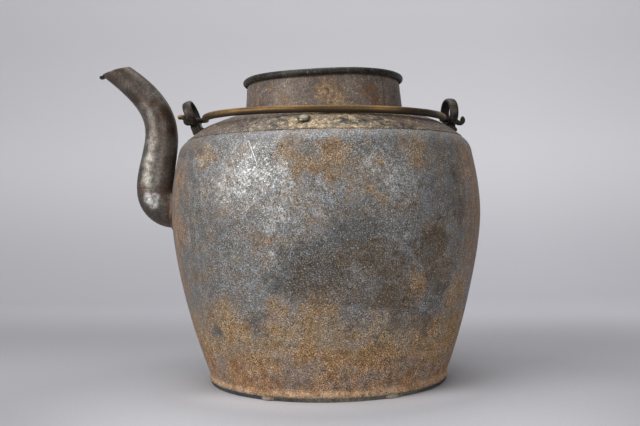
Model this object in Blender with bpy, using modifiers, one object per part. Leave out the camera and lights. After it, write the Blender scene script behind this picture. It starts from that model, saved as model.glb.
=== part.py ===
# A round pewter pot with a wide neck, an S-shaped spout and a brass bail.
# Metres, +Z up. The pot stands on Z = 0 with its axis on Z, and the spout points toward -X.

import math

import bmesh
import bpy
from mathutils import Matrix, Vector

# Fits and fineness
GAP = 0.0003                # left between neighbouring pieces
OVERRUN = 0.004             # how far a cutter passes through what it cuts
MERGE = 0.00001             # points closer than this are one point
ROUND_STEPS = 64            # sides of the pot's turned pieces

# Body wall, outside sizes, each level measured from the one below it
SHEET = 0.0012
FOOT_RADIUS = 0.0690
FOOT_HEIGHT = 0.0050
BELLY_RADIUS = 0.0897
BELLY_RISE = 0.0930
CORNER_INSET = 0.0046       # of the shoulder's corner, inside the belly
CORNER_RISE = 0.0332
SEAM_INSET = 0.0055         # of the seam with the shoulder, inside the corner
SEAM_RISE = 0.0078
LIP_FLARE = 0.0009          # how far the lip at the foot stands out, and how far it drops
FOOT_SLOPE = 0.38           # outward run of the wall for each unit of rise, above the foot
CORNER_SLOPE = 0.22         # inward run for each unit of rise, below the shoulder's corner
SEAM_SLOPE_DEG = 37.0       # fall of wall and shoulder where they meet
WALL_STEPS = 7

# Base plate and the small feet under the lip
BASE_SHEET = 0.0014
BASE_EDGE_ROUND = 0.0006
PAD_WIDTH = 0.0062
PAD_DEPTH = 0.0040
PAD_DROP = 0.00085          # of the pad's top, below the lip
PAD_BEVEL = 0.0005
PAD_INSET = 0.0004          # the pad's face lies this far inside the lip
PAD_ANGLE_DEG = 28.0        # either side of the front, and of the back

# Shoulder, neck and rolled rim
SHOULDER_RISE = 0.01575     # of the neck's foot, above the seam
NECK_RADIUS = 0.0462        # outside of the neck at its foot
NECK_TAPER = 0.0014         # how much smaller its radius is at its top
NECK_RISE = 0.01455
NECK_SHEET = 0.0010
NECK_TUCK = 0.0022          # length of neck that hangs below the shoulder's hole
NECK_LEAN_DEG = 0.7         # toward the spout
SHOULDER_TOP_SLOPE_DEG = 18.3
SHOULDER_STEPS = 8
RIM_WIRE_RADIUS = 0.0011
RIM_RISE = 0.0037           # of the rim wire's centre, above the neck's top
RIM_OFFSET = 0.0001         # of the rim wire's centre, outside the neck's top radius
RIM_START_DEG = 215.0
RIM_END_DEG = -60.0
RIM_STEPS = 8

# Spout
SPOUT_SHEET = 0.0012
SPOUT_ROOT_RISE = 0.0021    # of the root's axis, above the belly
SPOUT_ROOT_RADIUS = 0.0109
SPOUT_BEND_RADIUS = 0.0114
SPOUT_WAIST_RADIUS = 0.0095
SPOUT_WAIST_SHIFT = 0.0041  # of the waist, from the upright stretch toward the pot
SPOUT_WAIST_RISE = 0.0439   # above the root's axis
SPOUT_TIP_RADIUS = 0.0069
SPOUT_LIP_OVERHANG = 0.0297  # of the lip, from the upright stretch outward
SPOUT_LIP_RISE = 0.0366     # above the waist
SPOUT_TIP_RISE_DEG = 37.0
SPOUT_MOUTH_RISE_DEG = 16.5
SPOUT_STUB = 0.0010         # straight length at each side of the elbow's seam
SPOUT_BEND_STEPS = 7
SPOUT_RUN_STEPS = 9
SPOUT_SIDES_RESOLUTION = 6
FILLET_WIDTH = 0.0026       # solder round the spout's root
FILLET_LENGTH = 0.0032
FILLET_SINK = 0.0011        # of the solder's foot behind the wall's face, where the wall curves away
FILLET_SIDES = 28
DRIP_RADIUS = 0.00135       # bead under the spout's lip
DRIP_SPREAD_DEG = 34.0
DRIP_STEPS = 6

# Ears, each an eye on a foot plate that follows the shoulder
EYE_HOLE_RADIUS = 0.0060
EYE_BAND = 0.0021
EYE_WIDTH = 0.0045
EYE_ROUND = 0.0007
EYE_STEPS = 24
SHANK_DEPTH = 0.0050
PLATE_LENGTH = 0.0090
PLATE_WIDTH = 0.0060
PLATE_THICK = 0.0010
PLATE_BEVEL = 0.0003
PLATE_INSET = 0.0059        # of the plate's middle, inside the seam
LEFT_EYE_SHIFT = 0.00096    # of the eye's foot, outward from the plate's middle
LEFT_SHANK_RISE = 0.0029    # of the eye's foot above the plate
LEFT_LEAN_DEG = 15.6
LEFT_YAW_DEG = 0.0
RIGHT_EYE_SHIFT = -0.00032
RIGHT_SHANK_RISE = 0.00036
RIGHT_LEAN_DEG = 0.0
RIGHT_YAW_DEG = 8.5

# Bail, one bent brass wire
WIRE_RADIUS = 0.0020
WIRE_END_RADIUS = 0.0015
BAIL_INSET = 0.0126         # of the middle of the front, inside the seam
BAIL_ARM_INSET = 0.0047     # of each arm at the pivot line, inside the plate's middle
BAIL_BEND = 0.0030
BAIL_FULLNESS = 2.1         # 2 is an ellipse, more is squarer
BAIL_STEPS = 30
BAIL_TAPER = 0.0140         # length over which the wire thins toward its ends
BEND_STEPS = 4
HOOK_REACH = 0.0052         # of the hook's start, outside the eye's middle
HOOK_RADIUS = 0.0017
HOOK_TURN_DEG = 145.0

# Rivet in the shoulder
RIVET_HEAD_RADIUS = 0.00315
RIVET_HEAD_HEIGHT = 0.0015
RIVET_SHANK_RADIUS = 0.0015
RIVET_TAIL_RADIUS = 0.0023
RIVET_TAIL_HEIGHT = 0.0009
RIVET_INSET = 0.0065        # inside the seam
RIVET_ANGLE_DEG = 8.4       # from the front toward the spout
RIVET_SIDES = 16

# Shares of the outline's own sizes at which its curves' handles stand
LOWER_HANDLE_SHARES = (0.387, 0.215)
UPPER_HANDLE_SHARES = (0.361, 0.301)
CORNER_HANDLE_SHARES = (0.51, 0.35)
SHOULDER_HANDLE_SHARES = (0.345, 0.335)
SPOUT_LOWER_HANDLE_SHARES = (0.30, 0.31)
SPOUT_UPPER_HANDLE_SHARES = (0.43, 0.50)
FILLET_WAIST_SHARES = (0.35, 0.55)
DRIP_TAPER_SHARE = 0.6

# Levels and radii that follow from the sizes above
BELLY_HEIGHT = FOOT_HEIGHT + BELLY_RISE
CORNER_HEIGHT = BELLY_HEIGHT + CORNER_RISE
CORNER_RADIUS = BELLY_RADIUS - CORNER_INSET
SEAM_HEIGHT = CORNER_HEIGHT + SEAM_RISE
SEAM_RADIUS = CORNER_RADIUS - SEAM_INSET
NECK_FOOT_HEIGHT = SEAM_HEIGHT + SHOULDER_RISE
NECK_TOP_RADIUS = NECK_RADIUS - NECK_TAPER
SPOUT_ROOT_HEIGHT = BELLY_HEIGHT + SPOUT_ROOT_RISE
PLATE_RADIUS = SEAM_RADIUS - PLATE_INSET
BAIL_REACH = SEAM_RADIUS - BAIL_INSET
BAIL_ARM = PLATE_RADIUS - BAIL_ARM_INSET
RIVET_DISTANCE = SEAM_RADIUS - RIVET_INSET

PEWTER = (0.30, 0.28, 0.26)
DARK_PEWTER = (0.13, 0.13, 0.12)
BROWN_PEWTER = (0.24, 0.20, 0.16)
SOLDER = (0.28, 0.24, 0.19)
BRASS = (0.35, 0.24, 0.10)


def clear_scene():
    for item in list(bpy.data.objects):
        bpy.data.objects.remove(item, do_unlink=True)


def make_collection(name):
    collection = bpy.data.collections.new(name)
    bpy.context.scene.collection.children.link(collection)
    return collection


def make_material(name, colour, roughness, metallic=1.0):
    material = bpy.data.materials.new(name)
    material.use_nodes = True
    shader = material.node_tree.nodes["Principled BSDF"]
    shader.inputs["Base Color"].default_value = (*colour, 1.0)
    shader.inputs["Roughness"].default_value = roughness
    shader.inputs["Metallic"].default_value = metallic
    material.diffuse_color = (*colour, 1.0)
    return material


def add_object(name, data, collection, material=None):
    item = bpy.data.objects.new(name, data)
    collection.objects.link(item)
    if material is not None:
        item.data.materials.append(material)
    return item


def make_cutter(item):
    item.display_type = "WIRE"
    item.hide_render = True
    return item


# Outlines in the radius and height plane

def bezier(start, first, second, end, steps):
    """Points along one cubic curve, both ends included."""
    points = []
    for step in range(steps + 1):
        t = step / steps
        s = 1.0 - t
        point = s * s * s * start + 3 * s * s * t * first + 3 * s * t * t * second + t * t * t * end
        points.append(point)
    return points


def offset_outline(points, distance):
    """The outline moved to its left, seen along its run, by the distance."""
    moved = []
    for index, point in enumerate(points):
        before = points[max(index - 1, 0)]
        after = points[min(index + 1, len(points) - 1)]
        run = (after - before).normalized()
        moved.append(point + Vector((-run.y, run.x)) * distance)
    return moved


def height_at(outline, radius):
    """Height of a falling outline at a radius."""
    for inner, outer in zip(outline, outline[1:]):
        if inner.x <= radius <= outer.x:
            share = (radius - inner.x) / (outer.x - inner.x)
            return inner.y + share * (outer.y - inner.y)
    return outline[-1].y


def radius_at(outline, height):
    """Radius of an outline that runs downward, at a height."""
    for upper, lower in zip(outline, outline[1:]):
        if lower.y <= height <= upper.y:
            share = (upper.y - height) / (upper.y - lower.y)
            return upper.x + share * (lower.x - upper.x)
    return outline[-1].x


def shoulder_outline():
    """Outside of the shoulder, from the neck's hole out to its edge on the wall."""
    seam_angle = math.radians(SEAM_SLOPE_DEG)
    top_angle = math.radians(SHOULDER_TOP_SLOPE_DEG)
    seam_normal = Vector((math.sin(seam_angle), math.cos(seam_angle)))
    start = Vector((NECK_RADIUS + GAP + SHEET * math.sin(top_angle), NECK_FOOT_HEIGHT))
    end = Vector((SEAM_RADIUS, SEAM_HEIGHT)) + seam_normal * (SHEET + GAP)
    run = end.x - start.x
    first = start + Vector((math.cos(top_angle), -math.sin(top_angle))) * run * SHOULDER_HANDLE_SHARES[0]
    second = end - Vector((math.cos(seam_angle), -math.sin(seam_angle))) * run * SHOULDER_HANDLE_SHARES[1]
    return bezier(start, first, second, end, SHOULDER_STEPS)


def wall_outline():
    """Outside of the body wall, from its flange under the shoulder down to the lip."""
    seam_angle = math.radians(SEAM_SLOPE_DEG)
    seam_run = Vector((math.cos(seam_angle), -math.sin(seam_angle)))
    seam = Vector((SEAM_RADIUS, SEAM_HEIGHT))
    corner = Vector((CORNER_RADIUS, CORNER_HEIGHT))
    belly = Vector((BELLY_RADIUS, BELLY_HEIGHT))
    foot = Vector((FOOT_RADIUS, FOOT_HEIGHT))
    flange = offset_outline(shoulder_outline(), -(SHEET + GAP))[-2]
    corner_fall = seam.y - corner.y
    upper_fall = corner.y - belly.y
    lower_fall = belly.y - foot.y
    corner_run = Vector((CORNER_SLOPE, -1.0))
    foot_run = Vector((FOOT_SLOPE, 1.0))
    down = Vector((0.0, -1.0))
    turn = bezier(seam,
                  seam + seam_run * corner_fall * CORNER_HANDLE_SHARES[1],
                  corner - corner_run * corner_fall * CORNER_HANDLE_SHARES[0],
                  corner, 3)
    upper = bezier(corner,
                   corner + corner_run * upper_fall * UPPER_HANDLE_SHARES[1],
                   belly - down * upper_fall * UPPER_HANDLE_SHARES[0],
                   belly, 4)
    lower = bezier(belly,
                   belly + down * lower_fall * LOWER_HANDLE_SHARES[1],
                   foot + foot_run * lower_fall * LOWER_HANDLE_SHARES[0],
                   foot, WALL_STEPS)
    lip = foot + Vector((LIP_FLARE, -LIP_FLARE))
    return [flange] + turn + upper[1:] + lower[1:] + [lip]


# Shape builders

def smooth(mesh, angle_deg=35.0):
    mesh.shade_smooth()
    mesh.set_sharp_from_angle(angle=math.radians(angle_deg))


def profile_mesh(name, points, closed):
    """Edges through (radius, height) points, in the plane of X and Z."""
    shape = bmesh.new()
    corners = [shape.verts.new((point[0], 0.0, point[1])) for point in points]
    for first, second in zip(corners, corners[1:]):
        shape.edges.new((first, second))
    if closed:
        shape.edges.new((corners[-1], corners[0]))
    mesh = bpy.data.meshes.new(name)
    shape.to_mesh(mesh)
    shape.free()
    return mesh


def turned(name, points, collection, material=None, closed=False, steps=ROUND_STEPS):
    """A profile turned about the object's own Z axis."""
    item = add_object(name, profile_mesh(name, points, closed), collection, material)
    screw = item.modifiers.new("Turn", "SCREW")
    screw.axis = "Z"
    screw.steps = steps
    screw.render_steps = steps
    screw.use_merge_vertices = True
    screw.merge_threshold = MERGE
    screw.use_smooth_shade = True
    return item


def add_wall(item, thickness):
    """Sheet thickness behind the outside surface."""
    shell = item.modifiers.new("Sheet", "SOLIDIFY")
    shell.thickness = thickness
    shell.offset = -1.0
    shell.use_even_offset = True


def cut(item, cutter, operation="DIFFERENCE"):
    boolean = item.modifiers.new("Cut " + cutter.name, "BOOLEAN")
    boolean.object = cutter
    boolean.operation = operation
    boolean.solver = "EXACT"


def box_object(name, size, collection, material=None, bevel=0.0, segments=2):
    """A box with its centre on the object's origin."""
    shape = bmesh.new()
    bmesh.ops.create_cube(shape, size=1.0)
    bmesh.ops.scale(shape, vec=Vector(size), verts=shape.verts)
    mesh = bpy.data.meshes.new(name)
    shape.to_mesh(mesh)
    shape.free()
    item = add_object(name, mesh, collection, material)
    if bevel > 0.0:
        edge = item.modifiers.new("Round", "BEVEL")
        edge.width = bevel
        edge.segments = segments
    return item


def cylinder_cutter(name, radius, length, collection, sides):
    """A cylinder along its own Z with its centre on the object's origin."""
    shape = bmesh.new()
    bmesh.ops.create_cone(shape, cap_ends=True, segments=sides, radius1=radius, radius2=radius, depth=length)
    mesh = bpy.data.meshes.new(name)
    shape.to_mesh(mesh)
    shape.free()
    return make_cutter(add_object(name, mesh, collection))


def wire_mesh(name, points, radii, resolution, capped):
    """A round section swept along points, as a mesh whose ends are closed or left open."""
    curve = bpy.data.curves.new(name + "_curve", "CURVE")
    curve.dimensions = "3D"
    curve.bevel_depth = 1.0
    curve.bevel_resolution = resolution
    curve.use_fill_caps = capped
    spline = curve.splines.new("POLY")
    spline.points.add(len(points) - 1)
    for knot, point, radius in zip(spline.points, points, radii):
        knot.co = (*point, 1.0)
        knot.radius = radius
    guide = bpy.data.objects.new(name + "_curve", curve)
    bpy.context.scene.collection.objects.link(guide)
    bpy.context.view_layer.update()
    evaluated = guide.evaluated_get(bpy.context.evaluated_depsgraph_get())
    mesh = bpy.data.meshes.new_from_object(evaluated)
    bpy.data.objects.remove(guide, do_unlink=True)
    bpy.data.curves.remove(curve)
    shape = bmesh.new()
    shape.from_mesh(mesh)
    bmesh.ops.remove_doubles(shape, verts=shape.verts, dist=MERGE)
    bmesh.ops.recalc_face_normals(shape, faces=shape.faces)
    shape.to_mesh(mesh)
    shape.free()
    mesh.name = name
    mesh.materials.clear()
    smooth(mesh)
    return mesh


# Pieces of the vessel

def build_vessel(parts, cutters):
    pewter = make_material("pewter_sheet", PEWTER, 0.55)
    wall = turned("body_wall", wall_outline(), parts, pewter)
    add_wall(wall, SHEET)
    shoulder = turned("shoulder", shoulder_outline(), parts, pewter.copy())
    add_wall(shoulder, SHEET)

    bore = SPOUT_ROOT_RADIUS - SPOUT_SHEET
    pour_hole = cylinder_cutter("pour_hole", bore, SPOUT_BEND_RADIUS + OVERRUN, cutters, FILLET_SIDES)
    pour_hole.rotation_euler = (0.0, math.pi / 2, 0.0)
    pour_hole.location = (-BELLY_RADIUS, 0.0, SPOUT_ROOT_HEIGHT)
    cut(wall, pour_hole)
    return wall, shoulder


def build_base(parts, cutters):
    lip_bottom = FOOT_HEIGHT - LIP_FLARE - SHEET * math.sqrt(0.5)
    pad_height = lip_bottom - PAD_DROP
    edge_top = lip_bottom - GAP
    edge_radius = FOOT_RADIUS + LIP_FLARE - SHEET
    inner = edge_radius - BASE_SHEET
    outline = [(0.0, BASE_SHEET), (inner, BASE_SHEET), (inner, edge_top), (edge_radius, edge_top),
               (edge_radius, BASE_EDGE_ROUND), (edge_radius - BASE_EDGE_ROUND, 0.0), (0.0, 0.0)]
    plate = turned("base_plate", outline, parts, make_material("base_sheet", DARK_PEWTER, 0.6))

    middle = FOOT_RADIUS + LIP_FLARE - PAD_INSET - PAD_DEPTH / 2
    places = {"foot_front_left": -90.0 - PAD_ANGLE_DEG, "foot_front_right": -90.0 + PAD_ANGLE_DEG,
              "foot_rear_right": 90.0 - PAD_ANGLE_DEG, "foot_rear_left": 90.0 + PAD_ANGLE_DEG}
    for name, degrees in places.items():
        angle = math.radians(degrees)
        place = Vector((middle * math.cos(angle), middle * math.sin(angle), pad_height / 2))
        pad = box_object(name, (PAD_DEPTH, PAD_WIDTH, pad_height), parts,
                         make_material(name + "_solder", SOLDER, 0.6), PAD_BEVEL)
        pad.location = place
        pad.rotation_euler = (0.0, 0.0, angle)
        notch = make_cutter(box_object(name + "_notch",
                                       (PAD_DEPTH + 2 * GAP, PAD_WIDTH + 2 * GAP, pad_height + 2 * OVERRUN),
                                       cutters))
        notch.location = place
        notch.rotation_euler = (0.0, 0.0, angle)
        cut(plate, notch)
    return plate


def build_neck(parts):
    """Neck sheet with its top rolled outward over a wire. Both lean a little toward the spout."""
    roll_outer = RIM_WIRE_RADIUS + GAP + NECK_SHEET
    roll_centre = Vector((NECK_TOP_RADIUS + RIM_OFFSET, NECK_RISE + RIM_RISE))
    inside = [Vector((NECK_RADIUS - NECK_SHEET, -NECK_TUCK)),
              Vector((NECK_RADIUS - NECK_SHEET, 0.0)),
              Vector((NECK_TOP_RADIUS - NECK_SHEET, NECK_RISE))]
    for step in range(RIM_STEPS + 1):
        degrees = RIM_START_DEG + (RIM_END_DEG - RIM_START_DEG) * step / RIM_STEPS
        angle = math.radians(degrees)
        inside.append(roll_centre + Vector((math.cos(angle), math.sin(angle))) * roll_outer)
    collar = turned("neck_collar", inside, parts, make_material("neck_sheet", BROWN_PEWTER, 0.5))
    add_wall(collar, NECK_SHEET)

    section = []
    sides = RIM_STEPS
    for step in range(sides):
        angle = -2 * math.pi * step / sides
        section.append(roll_centre + Vector((math.cos(angle), math.sin(angle))) * RIM_WIRE_RADIUS)
    wire = turned("rim_wire", section, parts, make_material("rim_wire_metal", DARK_PEWTER, 0.6), closed=True)
    for item in (collar, wire):
        item.location = (0.0, 0.0, NECK_FOOT_HEIGHT)
        item.rotation_euler = (0.0, -math.radians(NECK_LEAN_DEG), 0.0)


# Spout

def spout_root_x(wall):
    """X of the upright stretch of the spout, which nearly touches the wall."""
    height = SPOUT_ROOT_HEIGHT + SPOUT_BEND_RADIUS
    return -(radius_at(wall, height) + GAP + SPOUT_ROOT_RADIUS)


def build_spout(parts, cutters):
    wall = wall_outline()
    brown = make_material("spout_sheet", BROWN_PEWTER, 0.45)
    upright_x = spout_root_x(wall)
    bend_centre_x = upright_x + SPOUT_BEND_RADIUS
    seam_height = SPOUT_ROOT_HEIGHT + SPOUT_BEND_RADIUS + SPOUT_STUB

    outside = offset_outline(wall, GAP)
    solid = [(0.0, outside[0].y)] + [tuple(point) for point in outside] + [(0.0, outside[-1].y)]
    wall_cutter = make_cutter(turned("wall_cutter", solid, cutters))

    elbow_line = [Vector((bend_centre_x + SPOUT_BEND_RADIUS, 0.0, SPOUT_ROOT_HEIGHT))]
    for step in range(SPOUT_BEND_STEPS + 1):
        angle = -math.pi / 2 - math.pi / 2 * step / SPOUT_BEND_STEPS
        elbow_line.append(Vector((bend_centre_x + SPOUT_BEND_RADIUS * math.cos(angle), 0.0,
                                  SPOUT_ROOT_HEIGHT + SPOUT_BEND_RADIUS * (1.0 + math.sin(angle)))))
    elbow_line.append(Vector((upright_x, 0.0, seam_height)))
    radii = [SPOUT_ROOT_RADIUS] * len(elbow_line)
    elbow_mesh = wire_mesh("spout_elbow", elbow_line, radii, SPOUT_SIDES_RESOLUTION, capped=False)
    elbow = add_object("spout_elbow", elbow_mesh, parts, brown)
    add_wall(elbow, SPOUT_SHEET)
    cut(elbow, wall_cutter)

    tip_angle = math.radians(SPOUT_TIP_RISE_DEG)
    tip_run = Vector((-math.cos(tip_angle), 0.0, math.sin(tip_angle)))
    tip_down = Vector((-math.sin(tip_angle), 0.0, -math.cos(tip_angle)))
    waist = Vector((upright_x + SPOUT_WAIST_SHIFT, 0.0, SPOUT_ROOT_HEIGHT + SPOUT_WAIST_RISE))
    lip = Vector((upright_x - SPOUT_LIP_OVERHANG, 0.0, waist.z + SPOUT_LIP_RISE))
    tip_centre = lip - tip_down * SPOUT_TIP_RADIUS
    start = Vector((upright_x, 0.0, seam_height + GAP))
    rise = Vector((0.0, 0.0, 1.0))
    first = start + rise * SPOUT_STUB
    lower_rise = waist.z - first.z
    upper_rise = tip_centre.z - waist.z
    lower = bezier(first,
                   first + rise * lower_rise * SPOUT_LOWER_HANDLE_SHARES[0],
                   waist - rise * lower_rise * SPOUT_LOWER_HANDLE_SHARES[1],
                   waist, SPOUT_RUN_STEPS)
    upper = bezier(waist,
                   waist + rise * upper_rise * SPOUT_UPPER_HANDLE_SHARES[0],
                   tip_centre - tip_run * upper_rise * SPOUT_UPPER_HANDLE_SHARES[1],
                   tip_centre, SPOUT_RUN_STEPS)
    line = [start] + lower + upper[1:] + [tip_centre + tip_run * OVERRUN]
    radii = [SPOUT_ROOT_RADIUS]
    for step in range(SPOUT_RUN_STEPS + 1):
        share = step / SPOUT_RUN_STEPS
        radii.append(SPOUT_ROOT_RADIUS + (SPOUT_WAIST_RADIUS - SPOUT_ROOT_RADIUS) * share)
    for step in range(1, SPOUT_RUN_STEPS + 1):
        share = step / SPOUT_RUN_STEPS
        radii.append(SPOUT_WAIST_RADIUS + (SPOUT_TIP_RADIUS - SPOUT_WAIST_RADIUS) * share)
    radii.append(SPOUT_TIP_RADIUS)
    tube_mesh = wire_mesh("spout_tube", line, radii, SPOUT_SIDES_RESOLUTION, capped=False)
    tube = add_object("spout_tube", tube_mesh, parts, brown.copy())
    add_wall(tube, SPOUT_SHEET)
    cut(tube, wall_cutter)

    mouth_angle = math.radians(SPOUT_MOUTH_RISE_DEG)
    mouth_run = Vector((math.cos(mouth_angle), 0.0, math.sin(mouth_angle)))
    mouth_up = Vector((-math.sin(mouth_angle), 0.0, math.cos(mouth_angle)))
    block = 4 * SPOUT_ROOT_RADIUS
    mouth = make_cutter(box_object("mouth_cutter", (block, block, block), cutters))
    mouth.location = lip + mouth_run * block / 4 + mouth_up * block / 2
    mouth.rotation_euler = (0.0, -mouth_angle, 0.0)
    cut(tube, mouth)

    build_spout_fillet(parts, cutters, wall_cutter, elbow_line, radius_at(wall, SPOUT_ROOT_HEIGHT))
    build_drip_bead(parts, tip_centre, tip_down, tip_run)


def build_spout_fillet(parts, cutters, wall_cutter, elbow_line, wall_radius):
    """Solder round the spout's root, turned about the root's axis and fitted to elbow and wall."""
    buried = -SPOUT_BEND_RADIUS / 2
    foot = SPOUT_ROOT_RADIUS + FILLET_WIDTH
    waist = SPOUT_ROOT_RADIUS + FILLET_WIDTH * FILLET_WAIST_SHARES[0]
    section = [(0.0, FILLET_LENGTH), (SPOUT_ROOT_RADIUS, FILLET_LENGTH),
               (waist, FILLET_LENGTH * FILLET_WAIST_SHARES[1]), (foot, 0.0), (foot, buried), (0.0, buried)]
    ring = turned("spout_root_solder", section, parts, make_material("root_solder", SOLDER, 0.6),
                  steps=FILLET_SIDES)
    ring.location = (FILLET_SINK - wall_radius, 0.0, SPOUT_ROOT_HEIGHT)
    ring.rotation_euler = (0.0, -math.pi / 2, 0.0)

    line = list(elbow_line)
    line[0] = line[0] + Vector((OVERRUN, 0.0, 0.0))
    line[-1] = line[-1] + Vector((0.0, 0.0, OVERRUN))
    room = wire_mesh("elbow_room", line, [SPOUT_ROOT_RADIUS + GAP] * len(line),
                     SPOUT_SIDES_RESOLUTION, capped=True)
    cut(ring, make_cutter(add_object("elbow_room", room, cutters)))
    cut(ring, wall_cutter)


def build_drip_bead(parts, tip_centre, tip_down, tip_run):
    """A crescent of solder under the lip that makes the last drop fall clear."""
    distance = SPOUT_TIP_RADIUS + GAP + DRIP_RADIUS
    across = Vector((0.0, 1.0, 0.0))
    points = []
    radii = []
    for step in range(DRIP_STEPS + 1):
        share = 2.0 * step / DRIP_STEPS - 1.0
        angle = math.radians(DRIP_SPREAD_DEG) * share
        spoke = tip_down * math.cos(angle) + across * math.sin(angle)
        points.append(tip_centre + spoke * distance - tip_run * DRIP_RADIUS * share * share)
        radii.append(DRIP_RADIUS * (1.0 - DRIP_TAPER_SHARE * share * share))
    mesh = wire_mesh("spout_drip_bead", points, radii, 2, capped=True)
    add_object("spout_drip_bead", mesh, parts, make_material("drip_solder", DARK_PEWTER, 0.5))


# Ears and bail

def plate_stand(side):
    """Slope of an ear's plate, and the middle of its top face, on the shoulder."""
    outline = shoulder_outline()
    slope_ahead = height_at(outline, PLATE_RADIUS + PLATE_LENGTH / 2)
    slope_behind = height_at(outline, PLATE_RADIUS - PLATE_LENGTH / 2)
    slope = math.atan2(slope_behind - slope_ahead, PLATE_LENGTH)
    normal = Vector((side * math.sin(slope), 0.0, math.cos(slope)))
    seat = Vector((side * PLATE_RADIUS, 0.0, height_at(outline, PLATE_RADIUS)))
    return slope, normal, seat + normal * (GAP + PLATE_THICK)


def eye_place(side):
    """Turn of one eye, its foot, its middle, and the place of the bail's wire in the bottom of its hole."""
    lean_deg, yaw_deg, shift, shank_rise = {
        -1: (LEFT_LEAN_DEG, LEFT_YAW_DEG, LEFT_EYE_SHIFT, LEFT_SHANK_RISE),
        1: (RIGHT_LEAN_DEG, RIGHT_YAW_DEG, RIGHT_EYE_SHIFT, RIGHT_SHANK_RISE),
    }[side]
    lean = math.radians(lean_deg) * side
    turn = Matrix.Rotation(lean, 3, "Y") @ Matrix.Rotation(math.radians(yaw_deg) * side, 3, "Z")
    up = turn @ Vector((0.0, 0.0, 1.0))
    slope, normal, top = plate_stand(side)
    foot = top + Vector((side * shift, 0.0, shank_rise - shift * math.tan(slope)))
    centre = foot + up * (EYE_HOLE_RADIUS + EYE_BAND)
    seat_rise = EYE_WIDTH / 2 * abs(math.tan(lean))
    pin = centre - up * (EYE_HOLE_RADIUS - WIRE_END_RADIUS - GAP - seat_rise)
    return turn, foot, centre, pin


def build_ear(name, side, parts, cutters):
    """An eye whose hole the bail's end turns in, a short shank, and a plate on the shoulder."""
    turn, foot, centre, pin = eye_place(side)
    up = turn @ Vector((0.0, 0.0, 1.0))

    half = EYE_WIDTH / 2
    outer = EYE_HOLE_RADIUS + EYE_BAND
    section = [(EYE_HOLE_RADIUS, half - EYE_ROUND), (EYE_HOLE_RADIUS + EYE_ROUND, half),
               (outer - EYE_ROUND, half), (outer, half - EYE_ROUND),
               (outer, EYE_ROUND - half), (outer - EYE_ROUND, -half),
               (EYE_HOLE_RADIUS + EYE_ROUND, -half), (EYE_HOLE_RADIUS, EYE_ROUND - half)]
    metal = make_material(name + "_metal", DARK_PEWTER, 0.5)
    ear = turned(name, section, parts, metal, closed=True, steps=EYE_STEPS)
    ear.matrix_world = Matrix.Translation(centre) @ turn.to_4x4() @ Matrix.Rotation(math.pi / 2, 4, "Y")

    slope, normal, top = plate_stand(side)
    plate_centre = top - normal * PLATE_THICK / 2
    plate = make_cutter(box_object(name + "_plate", (PLATE_LENGTH, PLATE_WIDTH, PLATE_THICK), cutters,
                                   bevel=PLATE_BEVEL, segments=1))
    plate.location = plate_centre
    plate.rotation_euler = (0.0, slope * side, 0.0)

    shank_top = foot + up * EYE_BAND / 2
    outward = (shank_top.x - plate_centre.x) * side
    shank_foot = Vector((shank_top.x, 0.0, plate_centre.z - outward * math.tan(slope)))
    shank_size = (EYE_WIDTH - 2 * EYE_ROUND, SHANK_DEPTH, (shank_top - shank_foot).length)
    shank = make_cutter(box_object(name + "_shank", shank_size, cutters))
    shank.matrix_world = Matrix.Translation((shank_top + shank_foot) / 2) @ turn.to_4x4()
    cut(ear, shank, "UNION")
    cut(ear, plate, "UNION")
    return ear


def hook_points(side, start):
    """The wire's end outside an eye, curled upward, in the bail's own frame."""
    points = [Vector((side * start, 0.0, 0.0))]
    curl_centre = Vector((side * start, 0.0, HOOK_RADIUS))
    for step in range(1, BEND_STEPS + 1):
        angle = math.radians(HOOK_TURN_DEG) * step / BEND_STEPS
        points.append(curl_centre + Vector((side * math.sin(angle), 0.0, -math.cos(angle))) * HOOK_RADIUS)
    return points


def bail_points(middle_x):
    """The wire's line in the bail's own frame: X along the pivots, -Y toward the front."""
    arms = {-1: BAIL_ARM + middle_x, 1: BAIL_ARM - middle_x}
    half = (arms[-1] + arms[1]) / 2
    shift = (arms[1] - arms[-1]) / 2
    depth = BAIL_REACH - BAIL_BEND
    arch = []
    for step in range(BAIL_STEPS + 1):
        angle = math.pi * step / BAIL_STEPS
        power = 2.0 / BAIL_FULLNESS
        across = math.copysign(abs(math.cos(angle)) ** power, -math.cos(angle))
        arch.append(Vector((shift + half * across, -BAIL_BEND - depth * math.sin(angle) ** power, 0.0)))
    ends = {}
    for side in (-1, 1):
        bend = []
        bend_centre = Vector((side * (arms[side] + BAIL_BEND), -BAIL_BEND, 0.0))
        for step in range(1, BEND_STEPS + 1):
            angle = math.pi / 2 * step / BEND_STEPS
            bend.append(bend_centre + Vector((-side * math.cos(angle), math.sin(angle), 0.0)) * BAIL_BEND)
        ends[side] = bend
    return arch, ends


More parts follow.
